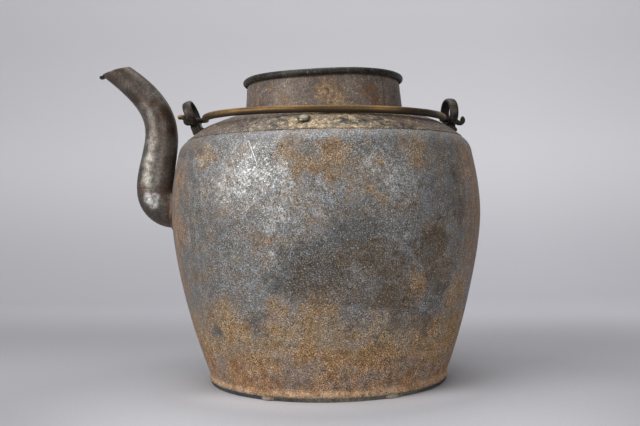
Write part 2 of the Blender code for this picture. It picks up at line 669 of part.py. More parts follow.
def build_bail(parts):
    """Brass wire that turns on the line through both eyes and rests on the shoulder."""
    left = eye_place(-1)[-1]
    right = eye_place(1)[-1]
    middle = (left + right) / 2
    run = right - left
    tilt = math.atan2(-run.z, run.x)
    half_span = run.length / 2
    rest_slope = math.radians(SEAM_SLOPE_DEG + SHOULDER_TOP_SLOPE_DEG) / 2
    rest_height = height_at(shoulder_outline(), BAIL_REACH) + (WIRE_RADIUS + GAP) / math.cos(rest_slope)
    sag = math.asin((middle.z - rest_height) / BAIL_REACH)

    arch, ends = bail_points(middle.x)
    hook_start = half_span + HOOK_REACH
    line = (list(reversed(hook_points(-1, hook_start))) + list(reversed(ends[-1])) + arch
            + ends[1] + hook_points(1, hook_start))
    radii = []
    for point in line:
        share = min(max((-point.y - BAIL_BEND) / BAIL_TAPER, 0.0), 1.0)
        radii.append(WIRE_END_RADIUS + (WIRE_RADIUS - WIRE_END_RADIUS) * share)
    mesh = wire_mesh("bail_handle", line, radii, 2, capped=True)
    bail = add_object("bail_handle", mesh, parts, make_material("bail_brass", BRASS, 0.4))
    bail.matrix_world = (Matrix.Translation(middle) @ Matrix.Rotation(tilt, 4, "Y")
                         @ Matrix.Rotation(sag, 4, "X"))
    return middle, tilt, sag


def build_rivet(parts, cutters, shoulder):
    outline = shoulder_outline()
    angle = -math.pi / 2 - math.radians(RIVET_ANGLE_DEG)
    ahead = height_at(outline, RIVET_DISTANCE + RIVET_HEAD_RADIUS)
    behind = height_at(outline, RIVET_DISTANCE - RIVET_HEAD_RADIUS)
    slope = math.atan2(behind - ahead, 2 * RIVET_HEAD_RADIUS)
    place = Vector((RIVET_DISTANCE * math.cos(angle), RIVET_DISTANCE * math.sin(angle),
                    height_at(outline, RIVET_DISTANCE)))
    stand = Matrix.Translation(place) @ Matrix.Rotation(angle, 4, "Z") @ Matrix.Rotation(slope, 4, "Y")

    below = -(SHEET + 2 * GAP)
    profile = [(0.0, GAP + RIVET_HEAD_HEIGHT)]
    for degrees in (65.0, 40.0, 15.0):
        rise = math.radians(degrees)
        profile.append((RIVET_HEAD_RADIUS * math.cos(rise), GAP + RIVET_HEAD_HEIGHT * math.sin(rise)))
    profile += [(RIVET_HEAD_RADIUS, GAP), (RIVET_SHANK_RADIUS, GAP), (RIVET_SHANK_RADIUS, below),
                (RIVET_TAIL_RADIUS, below), (RIVET_TAIL_RADIUS, below - RIVET_TAIL_HEIGHT / 2),
                (RIVET_SHANK_RADIUS, below - RIVET_TAIL_HEIGHT), (0.0, below - RIVET_TAIL_HEIGHT)]
    rivet = turned("shoulder_rivet", profile, parts, make_material("rivet_metal", PEWTER, 0.45),
                   steps=RIVET_SIDES)
    rivet.matrix_world = stand
    hole = cylinder_cutter("rivet_hole", RIVET_SHANK_RADIUS + GAP, 2 * OVERRUN, cutters, RIVET_SIDES)
    hole.matrix_world = stand
    cut(shoulder, hole)


def main():
    clear_scene()
    parts = make_collection("pewter_wine_pot")
    cutters = make_collection("cutters")
    wall, shoulder = build_vessel(parts, cutters)
    build_base(parts, cutters)
    build_neck(parts)
    build_spout(parts, cutters)
    build_ear("left_ear", -1, parts, cutters)
    build_ear("right_ear", 1, parts, cutters)
    middle, tilt, sag = build_bail(parts)
    build_rivet(parts, cutters, shoulder)
    swing = 180.0 + 2 * math.degrees(sag)
    print("Bail pivots at %.6f %.6f %.6f m" % tuple(middle))
    print("Bail axis %.6f 0 %.6f, swing %.3f degrees" % (-math.cos(tilt), math.sin(tilt), swing))


main()
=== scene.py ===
# An old round pewter wine pot with a brass wire bail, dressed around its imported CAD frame.
# Metres, +Z up, the pot's axis on Z, the photographed front toward -Y. Sizes in the dictionaries are millimetres.

import math

import bmesh
import bpy
from mathutils import Matrix, Vector


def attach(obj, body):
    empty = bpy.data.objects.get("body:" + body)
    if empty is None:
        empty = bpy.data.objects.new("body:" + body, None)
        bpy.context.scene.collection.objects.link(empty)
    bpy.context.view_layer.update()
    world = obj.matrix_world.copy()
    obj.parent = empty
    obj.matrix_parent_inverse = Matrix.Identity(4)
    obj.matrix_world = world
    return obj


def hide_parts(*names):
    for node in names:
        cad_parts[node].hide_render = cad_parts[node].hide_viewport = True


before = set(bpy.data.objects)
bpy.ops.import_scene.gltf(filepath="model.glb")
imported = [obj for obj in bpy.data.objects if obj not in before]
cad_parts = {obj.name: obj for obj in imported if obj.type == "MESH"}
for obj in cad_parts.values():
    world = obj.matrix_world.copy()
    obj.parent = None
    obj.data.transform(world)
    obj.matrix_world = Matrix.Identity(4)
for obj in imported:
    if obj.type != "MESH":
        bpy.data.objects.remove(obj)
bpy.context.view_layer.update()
mm = 0.001
weldDistance = 0.01 * mm
print("frame loaded:", len(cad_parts), "CAD nodes")


# Small helpers

def linearColour(hexCode):
    # An sRGB hex value, such as a paint chart gives, as linear RGBA.
    channels = [int(hexCode[i:i + 2], 16) / 255 for i in (1, 3, 5)]
    return (*[c / 12.92 if c <= 0.04045 else ((c + 0.055) / 1.055) ** 2.4 for c in channels], 1.0)


def addNode(tree, kind, sockets=None, **settings):
    # One node with its settings. A socket takes a number, a colour, or another node's output.
    node = tree.nodes.new(kind)
    for name, value in settings.items():
        setattr(node, name, value)
    for key, value in (sockets or {}).items():
        if isinstance(value, bpy.types.Node):
            value = value.outputs[0]
        if isinstance(value, bpy.types.NodeSocket):
            tree.links.new(value, node.inputs[key])
        else:
            node.inputs[key].default_value = value
    return node


def perMm(size):
    # Texture scale, in repeats for each metre, of a pattern whose grains are this many millimetres wide.
    return 1.0 / (size * mm)


def bezierPoints(start, first, second, end, steps):
    points = []
    for step in range(steps + 1):
        t = step / steps
        s = 1.0 - t
        points.append(s * s * s * start + 3 * s * s * t * first + 3 * s * t * t * second + t * t * t * end)
    return points


def offsetOutline(points, distance):
    moved = []
    for i, point in enumerate(points):
        run = (points[min(i + 1, len(points) - 1)] - points[max(i - 1, 0)]).normalized()
        moved.append(point + Vector((-run.y, run.x)) * distance)
    return moved


def radiusAt(outline, height):
    for upper, lower in zip(outline, outline[1:]):
        if lower.y <= height <= upper.y:
            return upper.x + (upper.y - height) / (upper.y - lower.y) * (lower.x - upper.x)
    return outline[-1].x


def heightAt(outline, radius):
    for inner, outer in zip(outline, outline[1:]):
        if inner.x <= radius <= outer.x:
            return inner.y + (radius - inner.x) / (outer.x - inner.x) * (outer.y - inner.y)
    return outline[-1].y


def sheetLoop(outline, sheet, capSteps=4):
    # A closed loop of (point, inside share) round a sheet whose outer face runs along the outline.
    inner = offsetOutline(outline, -sheet)
    loop = [(point, 0.0) for point in outline]
    for outerEnd, innerEnd, ends in ((outline[-1], inner[-1], "far"), (inner[0], outline[0], "near")):
        middle = (outerEnd + innerEnd) / 2
        spoke = outerEnd - middle
        if ends == "near":
            loop += [(point, 1.0) for point in reversed(inner)]
        for step in range(1, capSteps):
            turn = Matrix.Rotation(-math.pi * step / capSteps, 2)
            loop.append((middle + turn @ spoke, 0.5))
    return loop


def edgeMesh(name, points, closed, values=None, valueName="inside"):
    # A mesh of edges through 3-D points in metres, with one float for each point.
    mesh = bpy.data.meshes.new(name)
    edges = [(i, i + 1) for i in range(len(points) - 1)]
    if closed:
        edges.append((len(points) - 1, 0))
    mesh.from_pydata([tuple(point) for point in points], edges, [])
    if values is not None:
        attribute = mesh.attributes.new(valueName, "FLOAT", "POINT")
        attribute.data.foreach_set("value", values)
    return mesh


def loopMesh(name, loop):
    # The mesh of a closed profile loop, which lies in the plane of X and Z.
    return edgeMesh(name, [Vector((point.x, 0.0, point.y)) * mm for point, side in loop], True,
                    [side for point, side in loop])


def addObject(name, mesh):
    item = bpy.data.objects.new(name, mesh)
    bpy.context.scene.collection.objects.link(item)
    return item


def growFromTree(name, mesh, tree, values):
    # Runs a Geometry Nodes tree on a mesh and returns its result as a plain mesh object.
    guide = addObject(name + "Guide", mesh)
    modifier = guide.modifiers.new("shape", "NODES")
    modifier.node_group = tree
    for socket in tree.interface.items_tree:
        if socket.item_type == "SOCKET" and socket.in_out == "INPUT" and socket.name in values:
            modifier[socket.identifier] = values[socket.name]
    guide.update_tag()
    bpy.context.view_layer.update()
    graph = bpy.context.evaluated_depsgraph_get()
    result = bpy.data.meshes.new_from_object(guide.evaluated_get(graph), preserve_all_data_layers=True,
                                             depsgraph=graph)
    bpy.data.objects.remove(guide, do_unlink=True)
    bpy.data.meshes.remove(mesh)
    result.name = name
    return addObject(name, result)


def faceOutward(mesh):
    # Merges doubles and turns a closed shell's faces so that it holds a positive volume.
    shape = bmesh.new()
    shape.from_mesh(mesh)
    bmesh.ops.remove_doubles(shape, verts=shape.verts, dist=weldDistance)
    bmesh.ops.dissolve_degenerate(shape, edges=shape.edges, dist=weldDistance / 10)
    bmesh.ops.recalc_face_normals(shape, faces=shape.faces)
    if shape.calc_volume(signed=True) < 0.0:
        bmesh.ops.reverse_faces(shape, faces=shape.faces)
    shape.to_mesh(mesh)
    shape.free()


def applyModifiers(item):
    graph = bpy.context.evaluated_depsgraph_get()
    bpy.context.view_layer.update()
    mesh = bpy.data.meshes.new_from_object(item.evaluated_get(graph), preserve_all_data_layers=True,
                                           depsgraph=graph)
    old = item.data
    item.modifiers.clear()
    item.data = mesh
    mesh.name = item.name
    bpy.data.meshes.remove(old)


def cutWith(item, cutter, operation="DIFFERENCE"):
    boolean = item.modifiers.new("cut", "BOOLEAN")
    boolean.object = cutter
    boolean.operation = operation
    boolean.solver = "EXACT"
    applyModifiers(item)


def removeObject(item):
    mesh = item.data
    bpy.data.objects.remove(item, do_unlink=True)
    bpy.data.meshes.remove(mesh)


def placeMesh(item, matrix):
    # Puts the place into the mesh, so that the object stays at the origin.
    item.data.transform(matrix)
    item.data.update()


def finishPiece(item, materials, body, nodes, sharpDeg=38.0):
    # Smooth shading, finish, body and the CAD nodes that the piece stands for.
    item.data.materials.clear()
    for material in materials:
        item.data.materials.append(material)
    item.data.shade_smooth()
    item.data.set_sharp_from_angle(angle=math.radians(sharpDeg))
    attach(item, body)
    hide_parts(*nodes)
    print("  %s: %d faces" % (item.name, len(item.data.polygons)))
    return item


# Geometry Nodes trees

def newTree(name, inputs):
    tree = bpy.data.node_groups.new(name, "GeometryNodeTree")
    tree.interface.new_socket("Geometry", in_out="INPUT", socket_type="NodeSocketGeometry")
    for label, kind, value in inputs:
        socket = tree.interface.new_socket(label, in_out="INPUT", socket_type="NodeSocket" + kind)
        if value is not None:
            socket.default_value = value
    tree.interface.new_socket("Geometry", in_out="OUTPUT", socket_type="NodeSocketGeometry")
    return tree, addNode(tree, "NodeGroupInput")


def closeTree(tree, geometry, material):
    realized = addNode(tree, "GeometryNodeRealizeInstances", {"Geometry": geometry})
    painted = addNode(tree, "GeometryNodeSetMaterial", {"Geometry": realized, "Material": material})
    addNode(tree, "NodeGroupOutput", {"Geometry": painted})


def unevenness(tree, geometry, given, fade):
    # Moves points toward or away from the Z axis by a slow seeded noise, as hand-raised sheet is never quite round.
    place = addNode(tree, "GeometryNodeInputPosition")
    size = addNode(tree, "ShaderNodeMath", {0: 1.0, 1: given.outputs["Dent Size"]}, operation="DIVIDE")
    cloud = addNode(tree, "ShaderNodeTexNoise", {"Vector": place, "W": given.outputs["Seed"], "Scale": size,
                                                 "Detail": 2.0, "Roughness": 0.5}, noise_dimensions="4D")
    centred = addNode(tree, "ShaderNodeMath", {0: cloud.outputs[0], 1: 0.6}, operation="SUBTRACT")
    deep = addNode(tree, "ShaderNodeMath", {0: centred, 1: given.outputs["Dent Depth"]}, operation="MULTIPLY")
    if fade is not None:
        deep = addNode(tree, "ShaderNodeMath", {0: deep, 1: fade}, operation="MULTIPLY")
    flat = addNode(tree, "ShaderNodeVectorMath", {0: place, 1: (1.0, 1.0, 0.0)}, operation="MULTIPLY")
    outward = addNode(tree, "ShaderNodeVectorMath", {0: flat}, operation="NORMALIZE")
    shift = addNode(tree, "ShaderNodeVectorMath", {0: outward, "Scale": deep}, operation="SCALE")
    return addNode(tree, "GeometryNodeSetPosition", {"Geometry": geometry, "Offset": shift})


def makeTurnedTree():
    # A profile of edges in the XZ plane, turned about Z into a closed skin.
    tree, given = newTree("turnedPiece", [
        ("Sides", "Int", 128), ("Profile Points", "Int", 10), ("Dent Depth", "Float", 0.0),
        ("Dent Size", "Float", 0.05), ("Dent Floor", "Float", 0.0), ("Dent Top", "Float", 1.0),
        ("Dent Fade", "Float", 0.01), ("Seed", "Float", 1.0), ("Material", "Material", None)])
    columns = addNode(tree, "ShaderNodeMath", {0: given.outputs["Sides"], 1: 1.0}, operation="ADD")
    rows = addNode(tree, "ShaderNodeMath", {0: given.outputs["Profile Points"], 1: 1.0}, operation="ADD")
    grid = addNode(tree, "GeometryNodeMeshGrid", {"Size X": 1.0, "Size Y": 1.0, "Vertices X": columns,
                                                  "Vertices Y": rows})
    place = addNode(tree, "ShaderNodeSeparateXYZ", {0: addNode(tree, "GeometryNodeInputPosition")})
    shareX = addNode(tree, "ShaderNodeMath", {0: place.outputs["X"], 1: 0.5}, operation="ADD")
    shareY = addNode(tree, "ShaderNodeMath", {0: place.outputs["Y"], 1: 0.5}, operation="ADD")
    row = addNode(tree, "ShaderNodeMath", {0: shareY, 1: given.outputs["Profile Points"]}, operation="MULTIPLY")
    row = addNode(tree, "ShaderNodeMath", {0: row}, operation="ROUND")
    row = addNode(tree, "ShaderNodeMath", {0: row, 1: given.outputs["Profile Points"]}, operation="MODULO")
    inside = addNode(tree, "GeometryNodeInputNamedAttribute", {"Name": "inside"}, data_type="FLOAT")
    insideHere = addNode(tree, "GeometryNodeSampleIndex", {"Geometry": given.outputs["Geometry"], "Value": inside,
                                                           "Index": row}, data_type="FLOAT", domain="POINT")
    pointHere = addNode(tree, "GeometryNodeSampleIndex",
                        {"Geometry": given.outputs["Geometry"],
                         "Value": addNode(tree, "GeometryNodeInputPosition"), "Index": row},
                        data_type="FLOAT_VECTOR", domain="POINT")
    marked = addNode(tree, "GeometryNodeStoreNamedAttribute",
                     {"Geometry": grid.outputs["Mesh"], "Name": "inside", "Value": insideHere},
                     data_type="FLOAT", domain="POINT")
    section = addNode(tree, "ShaderNodeSeparateXYZ", {0: pointHere})
    angle = addNode(tree, "ShaderNodeMath", {0: shareX, 1: 2.0 * math.pi}, operation="MULTIPLY")
    across = addNode(tree, "ShaderNodeMath", {0: angle}, operation="COSINE")
    along = addNode(tree, "ShaderNodeMath", {0: angle}, operation="SINE")
    placeX = addNode(tree, "ShaderNodeMath", {0: section.outputs["X"], 1: across}, operation="MULTIPLY")
    placeY = addNode(tree, "ShaderNodeMath", {0: section.outputs["X"], 1: along}, operation="MULTIPLY")
    target = addNode(tree, "ShaderNodeCombineXYZ", {"X": placeX, "Y": placeY, "Z": section.outputs["Z"]})
    turned = addNode(tree, "GeometryNodeSetPosition", {"Geometry": marked, "Position": target})
    welded = addNode(tree, "GeometryNodeMergeByDistance", {"Geometry": turned, "Distance": weldDistance})
    height = addNode(tree, "ShaderNodeSeparateXYZ", {0: addNode(tree, "GeometryNodeInputPosition")}).outputs["Z"]
    floorEnd = addNode(tree, "ShaderNodeMath", {0: given.outputs["Dent Floor"], 1: given.outputs["Dent Fade"]},
                       operation="ADD")
    topStart = addNode(tree, "ShaderNodeMath", {0: given.outputs["Dent Top"], 1: given.outputs["Dent Fade"]},
                       operation="SUBTRACT")
    rising = addNode(tree, "ShaderNodeMapRange", {"Value": height, "From Min": given.outputs["Dent Floor"],
                                                  "From Max": floorEnd}, interpolation_type="SMOOTHSTEP")
    falling = addNode(tree, "ShaderNodeMapRange", {"Value": height, "From Min": given.outputs["Dent Top"],
                                                   "From Max": topStart}, interpolation_type="SMOOTHSTEP")
    fade = addNode(tree, "ShaderNodeMath", {0: rising, 1: falling}, operation="MULTIPLY")
    closeTree(tree, unevenness(tree, welded, given, fade), given.outputs["Material"])
    return tree


def makeSweptTree():
    # A round section swept along a path of edges, whose wireRadius attribute gives its radius.
    tree, given = newTree("sweptPiece", [
        ("Sides", "Int", 24), ("Capped", "Bool", True), ("Dent Depth", "Float", 0.0), ("Dent Size", "Float", 0.02),
        ("Seed", "Float", 1.0), ("Material", "Material", None)])
    radius = addNode(tree, "GeometryNodeInputNamedAttribute", {"Name": "wireRadius"}, data_type="FLOAT")
    path = addNode(tree, "GeometryNodeMeshToCurve", {"Mesh": given.outputs["Geometry"]})
    sized = addNode(tree, "GeometryNodeSetCurveRadius", {"Curve": path, "Radius": radius})
    ring = addNode(tree, "GeometryNodeCurvePrimitiveCircle", {"Resolution": given.outputs["Sides"], "Radius": 1.0})
    swept = addNode(tree, "GeometryNodeCurveToMesh", {"Curve": sized, "Profile Curve": ring.outputs["Curve"],
                                                      "Fill Caps": given.outputs["Capped"]})
    if "Scale" in swept.inputs:
        tree.links.new(radius.outputs[0], swept.inputs["Scale"])
    place = addNode(tree, "GeometryNodeInputPosition")
    size = addNode(tree, "ShaderNodeMath", {0: 1.0, 1: given.outputs["Dent Size"]}, operation="DIVIDE")
    cloud = addNode(tree, "ShaderNodeTexNoise", {"Vector": place, "W": given.outputs["Seed"], "Scale": size,
                                                 "Detail": 2.0}, noise_dimensions="4D")
    centred = addNode(tree, "ShaderNodeMath", {0: cloud.outputs[0], 1: 0.5}, operation="SUBTRACT")
    deep = addNode(tree, "ShaderNodeMath", {0: centred, 1: given.outputs["Dent Depth"]}, operation="MULTIPLY")
    normal = addNode(tree, "GeometryNodeInputNormal")
    shift = addNode(tree, "ShaderNodeVectorMath", {0: normal, "Scale": deep}, operation="SCALE")
    uneven = addNode(tree, "GeometryNodeSetPosition", {"Geometry": swept, "Offset": shift})
    closeTree(tree, uneven, given.outputs["Material"])
    return tree


turnedTree = makeTurnedTree()
sweptTree = makeSweptTree()
print("geometry trees made")


def turnPiece(name, loop, sides, dents=None):
    values = {"Sides": sides, "Profile Points": len(loop), **(dents or {})}
    item = growFromTree(name, loopMesh(name + "Profile", loop), turnedTree, values)
    faceOutward(item.data)
    return item


def sweepPiece(name, points, radii, sides, capped=True, dents=None, closed=False):
    mesh = edgeMesh(name + "Path", [point * mm for point in points], closed, [r * mm for r in radii], "wireRadius")
    item = growFromTree(name, mesh, sweptTree, {"Sides": sides, "Capped": capped, **(dents or {})})
    if capped or closed:
        faceOutward(item.data)
    return item


# Camera at the photograph's place: half a metre in front, level with the pot's middle

cameraPlace = {"lens": 47.8, "sensor": 36.0, "place": (-3.4, -501.5, 99.7), "pitchDeg": 0.37, "rollDeg": 1.05}


def makeCamera():
    data = bpy.data.cameras.new("camera")
    data.lens = cameraPlace["lens"]
    data.sensor_width = cameraPlace["sensor"]
    data.clip_start = 0.01
    data.clip_end = 20.0
    camera = addObject("camera", data)
    look = Matrix.Rotation(math.radians(90.0 - cameraPlace["pitchDeg"]), 4, "X")
    roll = Matrix.Rotation(-math.radians(cameraPlace["rollDeg"]), 4, "Z")
    camera.matrix_world = Matrix.Translation(Vector(cameraPlace["place"]) * mm) @ look @ roll
    bpy.context.scene.camera = camera


makeCamera()


# Finishes

def patchMask(tree, place, patches):
    # The strongest of several soft round stains. Each is (x, y, z, radius) in millimetres.
    strongest = None
    for x, y, z, radius in patches:
        away = addNode(tree, "ShaderNodeVectorMath", {0: place, 1: (x * mm, y * mm, z * mm)}, operation="DISTANCE")
        soft = addNode(tree, "ShaderNodeMapRange", {"Value": away.outputs["Value"], "From Min": radius * mm,
                                                    "From Max": radius * mm * 0.25}, interpolation_type="SMOOTHSTEP")
        if strongest is None:
            strongest = soft
        else:
            strongest = addNode(tree, "ShaderNodeMath", {0: strongest, 1: soft}, operation="MAXIMUM")
    return strongest


def scratchMask(tree, place, start, end, width):
    # A straight bright line from start to end, in millimetres of X and Z on the front.
    flat = addNode(tree, "ShaderNodeVectorMath", {0: place, 1: (1.0, 0.0, 1.0)}, operation="MULTIPLY")
    first = Vector((start[0] * mm, 0.0, start[1] * mm))
    run = Vector((end[0] * mm, 0.0, end[1] * mm)) - first
    fromStart = addNode(tree, "ShaderNodeVectorMath", {0: flat, 1: tuple(first)}, operation="SUBTRACT")
    along = addNode(tree, "ShaderNodeVectorMath", {0: fromStart, 1: tuple(run / run.length_squared)},
                    operation="DOT_PRODUCT")
    share = addNode(tree, "ShaderNodeClamp", {"Value": along.outputs["Value"]})
    nearest = addNode(tree, "ShaderNodeVectorMath", {0: tuple(run), "Scale": share}, operation="SCALE")
    away = addNode(tree, "ShaderNodeVectorMath", {0: fromStart, 1: nearest}, operation="DISTANCE")
    line = addNode(tree, "ShaderNodeMapRange", {"Value": away.outputs["Value"], "From Min": width * mm,
                                                "From Max": width * mm * 0.3})
    depth = addNode(tree, "ShaderNodeSeparateXYZ", {0: place})
    front = addNode(tree, "ShaderNodeMath", {0: depth.outputs["Y"], 1: 0.0}, operation="LESS_THAN")
    return addNode(tree, "ShaderNodeMath", {0: line, 1: front}, operation="MULTIPLY")


def noiseField(tree, place, size, detail=4.0, roughness=0.55, seed=0.0):
    # Noise whose grains are size millimetres wide.
    return addNode(tree, "ShaderNodeTexNoise", {"Vector": place, "W": seed, "Scale": perMm(size), "Detail": detail,
                                                "Roughness": roughness}, noise_dimensions="4D").outputs[0]


def stepBetween(tree, value, low, high, outLow=0.0, outHigh=1.0):
    return addNode(tree, "ShaderNodeMapRange", {"Value": value, "From Min": low, "From Max": high,
                                                "To Min": outLow, "To Max": outHigh},
                   interpolation_type="SMOOTHSTEP").outputs[0]


def mixColour(tree, share, first, second, blend="MIX"):
    node = addNode(tree, "ShaderNodeMix", {0: share}, data_type="RGBA", blend_type=blend)
    for index, colour in ((6, first), (7, second)):
        if isinstance(colour, str):
            node.inputs[index].default_value = linearColour(colour)
        else:
            tree.links.new(colour, node.inputs[index])
    return node.outputs[2]


def combine(tree, first, second, operation="MULTIPLY"):
    return addNode(tree, "ShaderNodeMath", {0: first, 1: second}, operation=operation).outputs[0]


def ragged(tree, mask, torn, strength=1.5):
    # A soft stain's edge torn by noise, as dried dirt ends.
    moved = combine(tree, combine(tree, combine(tree, torn, 0.5, "SUBTRACT"), strength), mask, "ADD")
    return stepBetween(tree, moved, 0.08, 0.92)


def sparseDots(tree, place, size, reach, seed, dense):
    # Single specks, one at most in each cell of the given size in millimetres; dense is the share of cells with one.
    cells = addNode(tree, "ShaderNodeTexVoronoi", {"Vector": place, "W": seed, "Scale": perMm(size)},
                    voronoi_dimensions="4D")
    chosen = addNode(tree, "ShaderNodeSeparateColor", {0: cells.outputs["Color"]}).outputs[0]
    chosen = addNode(tree, "ShaderNodeMath", {0: chosen, 1: dense}, operation="LESS_THAN").outputs[0]
    return combine(tree, chosen, stepBetween(tree, cells.outputs["Distance"], reach, reach * 0.5))


def newMaterial(name):
    material = bpy.data.materials.new(name)
    material.use_nodes = True
    tree = material.node_tree
    tree.nodes.clear()
    shader = addNode(tree, "ShaderNodeBsdfPrincipled")
    addNode(tree, "ShaderNodeOutputMaterial", {"Surface": shader})
    place = addNode(tree, "ShaderNodeTexCoord").outputs["Object"]
    return material, tree, shader, place


# Pewter sheet, raised by hammer and left to tarnish: a soft grey metal under a grey-brown skin, speckled where the
# skin is rubbed through, with ochre dirt baked on near the fire. It gives a matt mottled surface with dull glints;
# broad pale patches, a bright band under the shoulder and sparse white specks are painted highlights.

wallLook = {
    "seed": 3.0,
    "grain": 0.6,                  # mm, the rubbed speckle; the real one is finer and would fall between pixels
    "coarse": 1.9,                 # mm, clusters of that speckle
    "cloud": 38.0,                 # mm, slow changes of tone
    "blotch": 11.0,                # mm, edges of the stains
    "hammer": 9.0,                 # mm, faint hammer marks
    "lowOchreTop": 55.0,           # mm, height that the baked dirt reaches
    "ochre": [(4.9, -86.7, 122.7, 16.0), (-19.5, -83.4, 128.3, 11.0), (-9.8, -86.7, 120.6, 9.0),
              (47.3, -71.3, 128.9, 13.0), (23.2, -86.1, 107.8, 6.0), (26.1, -82.8, 122.6, 5.0),
              (-7.0, -82.7, 42.0, 21.0), (-54.6, -61.4, 42.0, 17.0), (44.4, -72.3, 60.0, 14.0),
              (70.0, -45.7, 50.0, 20.0), (-32.3, -82.4, 81.7, 5.0), (-62.0, -60.0, 128.0, 10.0),
              (-30.0, 82.0, 118.0, 20.0), (20.0, 84.0, 58.0, 24.0), (12.0, -88.0, 76.0, 8.0),
              (58.0, -62.0, 68.0, 13.0), (62.0, -56.0, 36.0, 18.0), (38.0, -74.0, 34.0, 12.0),
              (-28.0, -80.0, 50.0, 10.0)],
    "brown": [(79.0, -38.0, 121.0, 24.0), (82.0, -33.0, 98.0, 26.0), (80.0, -35.0, 74.0, 24.0),
              (88.0, 2.0, 104.0, 38.0), (85.0, 4.0, 66.0, 34.0), (-81.0, -36.0, 90.0, 21.0),
              (-80.0, -34.0, 116.0, 18.0), (-83.0, -20.0, 64.0, 24.0), (-88.0, 2.0, 96.0, 34.0)],
    "silver": [(-51.0, -73.0, 110.5, 11.0), (-44.0, -77.0, 112.5, 11.0), (-38.5, -80.0, 115.5, 11.0),
               (-40.5, -79.0, 122.0, 11.0), (-53.0, -71.0, 105.0, 8.0), (-25.6, -85.0, 117.0, 12.0),
               (-20.7, -86.5, 113.0, 9.0), (-21.6, -87.0, 97.0, 11.0), (-29.0, -84.5, 91.0, 8.0),
               (-27.6, -83.5, 75.8, 5.0), (-2.0, -88.8, 112.0, 6.0), (-4.4, -89.4, 97.5, 5.0),
               (24.0, -86.0, 123.0, 8.0), (36.0, -81.0, 118.0, 11.0), (34.0, -82.0, 113.0, 9.0),
               (41.0, -79.0, 111.0, 9.0), (39.1, -79.8, 84.3, 6.0), (20.0, 84.0, 112.0, 20.0)],
    # Painted highlights: broad pale patches lightening the wall, on the front and at the rear left.
    "paintedSheen": [(-42.0, -77.0, 116.0, 30.0), (-20.0, -85.0, 104.0, 22.0), (36.0, -79.0, 117.0, 20.0),
              (-62.0, -60.0, 116.0, 22.0), (-60.0, 60.0, 108.0, 26.0)],
    "dark": [(-13.3, -85.2, 68.0, 19.0), (-26.0, -79.0, 62.0, 12.0), (-38.0, -71.0, 42.0, 10.0),
             (-58.0, -54.0, 36.0, 8.0), (-4.0, -87.0, 70.0, 22.0), (14.0, -88.7, 87.0, 22.0),
             (-60.0, 62.0, 80.0, 26.0)],
    "umber": [(12.0, -79.0, 41.0, 9.0), (12.0, -85.0, 64.0, 24.0), (32.0, -79.0, 58.0, 20.0),
              (48.0, -68.0, 40.0, 14.0), (58.0, -62.0, 64.0, 16.0), (36.5, -71.7, 41.1, 9.0), (24.0, -76.0, 34.0, 6.0),
              (41.8, -72.0, 52.1, 7.0), (7.9, -77.2, 30.8, 3.5), (26.2, -84.1, 72.0, 20.0),
              (52.0, -69.6, 80.0, 18.0), (20.0, -80.0, 56.0, 13.0), (-18.0, -84.0, 60.0, 12.0),
              (-5.0, -85.0, 60.0, 14.0), (-11.0, -86.0, 66.0, 13.0), (66.0, -54.0, 116.0, 9.0), (68.0, -54.0, 96.0, 9.0)],
    "scratches": [((-38.6, 134.0), (-34.2, 121.8), 0.27, 0.85), ((23.6, 127.2), (21.2, 123.7), 0.24, 0.5),
                  ((60.9, 63.5), (67.9, 62.9), 0.22, 0.3), ((58.0, 60.6), (62.5, 60.2), 0.2, 0.3),
                  ((19.3, 109.2), (30.2, 112.0), 0.2, 0.35), ((29.0, 111.4), (40.5, 114.8), 0.24, 0.4),
                  ((39.0, 118.0), (40.2, 106.0), 0.18, 0.3), ((62.2, 91.0), (62.9, 82.0), 0.18, 0.25),
                  ((33.0, 116.0), (45.0, 128.0), 0.16, 0.25), ((-46.0, 108.4), (-33.0, 110.5), 0.16, 0.4),
                  ((-64.0, 112.0), (-55.0, 103.0), 0.16, 0.25), ((46.0, 92.0), (46.3, 70.0), 0.14, 0.3)]}


def scoreMarks(tree, place, turnDeg, seed, high):
    # Short hairline scratches, all leaning one way: noise stretched ten times along its grain.
    turned = addNode(tree, "ShaderNodeVectorRotate", {0: place, "Angle": math.radians(turnDeg)},
                     rotation_type="Y_AXIS").outputs[0]
    squeezed = addNode(tree, "ShaderNodeVectorMath", {0: turned, 1: (1.0, 1.0, 0.1)}, operation="MULTIPLY")
    return stepBetween(tree, noiseField(tree, squeezed, 0.6, 0.0, 0.5, seed), high, high + 0.03)


